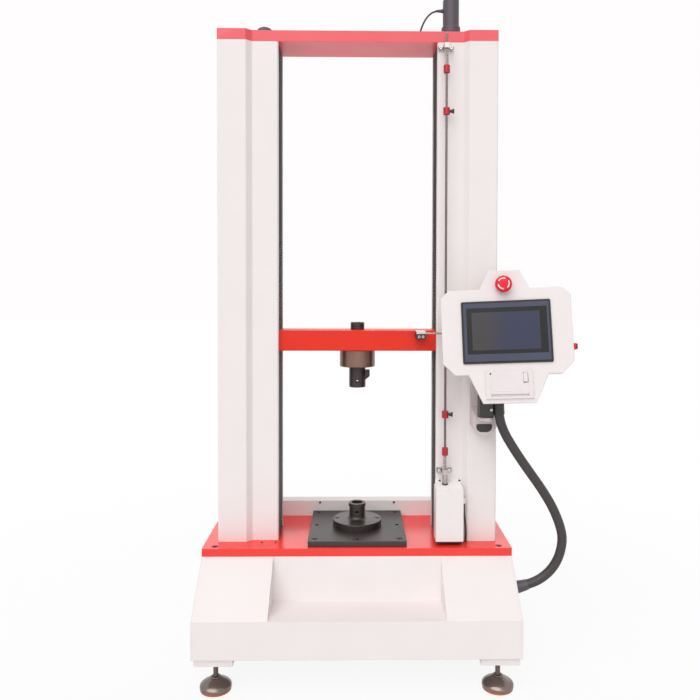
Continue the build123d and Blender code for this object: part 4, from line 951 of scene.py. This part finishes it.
# painted shade: the dark tip on the rocker's end
plate(
    "rocker_tip", rectangle((-44.6, -31.4), (-30.4, -17.6), 1.2), 161, 164.2, rim_abs, "rocker", "black_plastic", 0.8,
    SIDE,
)
plate(
    "rocker_frame", rectangle((-49.5, -26.5), (-35, -13), 2.5), 153, 155, rim_abs, "panel", "black_plastic", 0.4, SIDE,
    rectangle((-47, -29), (-32.2, -15.8), 2.0),
)
print("rocker", [round(c, 3) for c in key.dimensions])

# %% [markdown]
# Screws close the panel's back, near the corners of its sheet.

# %% Screws of the panel's back
BACK_W = -51.5
back = [PANEL @ Vector((u, v, BACK_W)) / MM for u, v in ((-128, 70), (128, 70), (-128, -62), (128, -62), (-2, 124))]
screws("panel_back_screws", back, PANEL.to_3x3() @ Vector((0, 0, -1)), 3.6, 2.4, zinc_plate, "panel")

# %% [markdown]
# The column mount has a dark insert in the shape of a D lying on its back, with a pale lip round it. The lip is a plate
# with a hole of the same shape, its lower corners far rounder than the upper ones.

# %% Lip of the mount's insert
LIP_OUTSIDE = rectangle((296.75, 341.25), (274.25, 299.75), 16, 6, steps=6)
LIP_INSIDE = rectangle((299.3, 338.7), (276.8, 297.2), 14, 4, steps=6)
lip = plate(
    "insert_lip", LIP_OUTSIDE, 123.2, 125.4, zinc_bright, "machine_frame", "grey_plastic", 0.6, FRONT, LIP_INSIDE
)
print("lip", [round(c, 3) for c in lip.dimensions])

# %% [markdown]
# The switch box at the foot of the rod has a sloping white hood with two dark screws, a dark seal and a steel sleeve
# round the rod's tube, and a dark strip under it. The trip bracket on the crosshead has a bright bent plate over its
# top, a painted highlight for the light that falls on the bracket's slope and top.

# %% Hood, seals and trip plate
def bent(name, profile, x, material, body, slot, round_off):
    """Profile of (y, z) drawn out between two x, in millimetres."""
    loops = [[Vector((at, y, z)) * MM for y, z in profile] for at in x]
    made = solid(name, *joined(loops), material, body, slot)
    break_edges(made, round_off)
    return made


HOOD = [(-119, 130.5), (-119, 131.4), (-72.5, 142.8), (-71.6, 142.8), (-71.6, 130.5)]
hood = bent("switch_box_hood", HOOD, (202, 267), hood_abs_painted_light, "machine_frame", "white_plastic", 0.7)
SLOPE = Vector((0, -11.2, 45.5)).normalized()
screws("hood_screws", [(x, -80.5, 140.6) for x in (213, 264)], SLOPE, 3.0, 2.4, black_oxide, "machine_frame")
SEAL = [(6.1, 133), (7.9, 133.4), (8.1, 137.8), (7.2, 139), (6.1, 139)]
tube_place = axis_place((*ROD, 0), (0, 0, 1))
solid(
    "tube_seal", *joined(rings_of(SEAL + SEAL[:1], tube_place, 48), caps=False), knob_abs, "machine_frame",
    "black_plastic",
)
SLEEVE = [(6.05, 138.2), (6.7, 138.2), (6.7, 160.6), (6.3, 161.4), (6.05, 161.4)]
solid(
    "tube_sleeve", *joined(rings_of(SLEEVE + SLEEVE[:1], tube_place, 48), caps=False), ground_steel, "machine_frame",
    "ground_steel",
)
# a dark strip along the foot of the switch box
GASKET = [(-117.5, -8.5), (-117.5, -3.8), (-73, -3.8), (-73, -8.5)]
bent("box_gasket", GASKET, (201.5, 267.5), knob_abs, "machine_frame", "black_rubber", 0.6)
# painted highlight: a bright plate over the dark bracket's slope and top, for the light that falls there
TRIP = [(-95.4, 521.8), (-95.9, 522.4), (-90.2, 528.3), (-56, 528.3), (-56, 527.4), (-89.8, 527.4)]
bent("trip_plate", TRIP, (150.5, 174.5), zinc_bright, "crosshead_group", "ground_steel", 0.2)
print("hood", [round(c, 3) for c in hood.dimensions])

# %% [markdown]
# The stage is a pale floor that fades into a white background, as in the photograph. The camera, and mirror-like metal,
# see the background as white, while the object is lit at a plain level by a soft sky, brighter overhead as under a
# studio ceiling, and by three broad lamps far enough away to light every height alike.

# %% Stage and light
REACH = 20.0                         # metres from the middle to the floor's edge
FADE_START, FADE_END = 0.5, 2.0      # metres from the middle
FADE_LOW = 0.88                      # share of white in the floor near the machine
SKY_LOW, SKY_TOP = 0.147, 0.626      # strength of the sky at the horizon, and overhead
floor_mesh = bpy.data.meshes.new("floor")
floor_mesh.from_pydata(
    [(-REACH, -REACH, 0), (REACH, -REACH, 0), (REACH, REACH, 0), (-REACH, REACH, 0)], [], [(0, 1, 2, 3)]
)
floor = placed("floor", floor_mesh)
floor.location.z = FLOOR * MM
floor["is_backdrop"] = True


def seen(tree):
    """1 for rays that the viewer, a mirror or a glass sends, else 0."""
    path = put(tree, "ShaderNodeLightPath").outputs
    first = put(tree, "ShaderNodeMath", {0: path["Is Camera Ray"], 1: path["Is Glossy Ray"]}, operation="MAXIMUM")
    both = put(tree, "ShaderNodeMath", {0: first.outputs[0], 1: path["Is Transmission Ray"]}, operation="MAXIMUM")
    return both.outputs[0]


pale = bpy.data.materials.new("floor_pale")
pale.use_nodes = True
tree = pale.node_tree
tree.nodes.remove(tree.nodes["Principled BSDF"])
matt = put(tree, "ShaderNodeBsdfDiffuse", {"Color": (0.88, 0.87, 0.87, 1)})
white = put(tree, "ShaderNodeEmission", {"Color": (1, 1, 1, 1), "Strength": 1.0})
away = put(
    tree, "ShaderNodeVectorMath", {0: put(tree, "ShaderNodeTexCoord").outputs["Object"]}, operation="LENGTH"
)
fade = put(
    tree, "ShaderNodeMapRange",
    {"Value": away.outputs["Value"], "From Min": FADE_START, "From Max": FADE_END, "To Min": FADE_LOW, "To Max": 1.0},
)
share = put(tree, "ShaderNodeMath", {0: fade.outputs[0], 1: seen(tree)}, operation="MULTIPLY")
mixed = put(tree, "ShaderNodeMixShader", {0: share.outputs[0], 1: matt.outputs[0], 2: white.outputs[0]})
tree.links.new(mixed.outputs[0], tree.nodes["Material Output"].inputs["Surface"])
floor_mesh.materials.append(pale)

world = bpy.data.worlds.new("studio")
world.use_nodes = True
tree = world.node_tree
sky = tree.nodes["Background"]
up = put(tree, "ShaderNodeSeparateXYZ", {"Vector": put(tree, "ShaderNodeTexCoord").outputs["Generated"]})
lift = put(tree, "ShaderNodeMapRange", {"Value": up.outputs["Z"], "To Min": SKY_LOW, "To Max": SKY_TOP})
strength = put(tree, "ShaderNodeMapRange", {"Value": seen(tree), "To Min": lift.outputs[0], "To Max": 1.0})
sky.inputs["Color"].default_value = (1, 0.985, 0.985, 1)
tree.links.new(strength.outputs[0], sky.inputs["Strength"])
bpy.context.scene.world = world

LAMPS = {    # direction to the lamp, its breadth in degrees, its strength
    "key": ((-0.3, -0.62, 0.72), 60, 1.6), "fill": ((0.1, -0.95, 0.3), 45, 0.37),
    "rear": ((0.2, 0.8, 0.55), 60, 0.42),
}
for name, (source, angle, power) in LAMPS.items():
    data = bpy.data.lights.new(name, "SUN")
    data.angle = angle * pi / 180
    data.energy = power
    lamp = placed(name, data)
    lamp.rotation_mode = "QUATERNION"
    lamp.rotation_quaternion = Vector(source).to_track_quat("Z", "Y")
bpy.context.scene.view_settings.view_transform = "Standard"
print("lamps", len(LAMPS))

# %% [markdown]
# The dressed machine is meant to keep the size of its solids. Its box is printed.

# %% Size
low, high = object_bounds()
print("visual", [round(x, 3) for x in high - low])
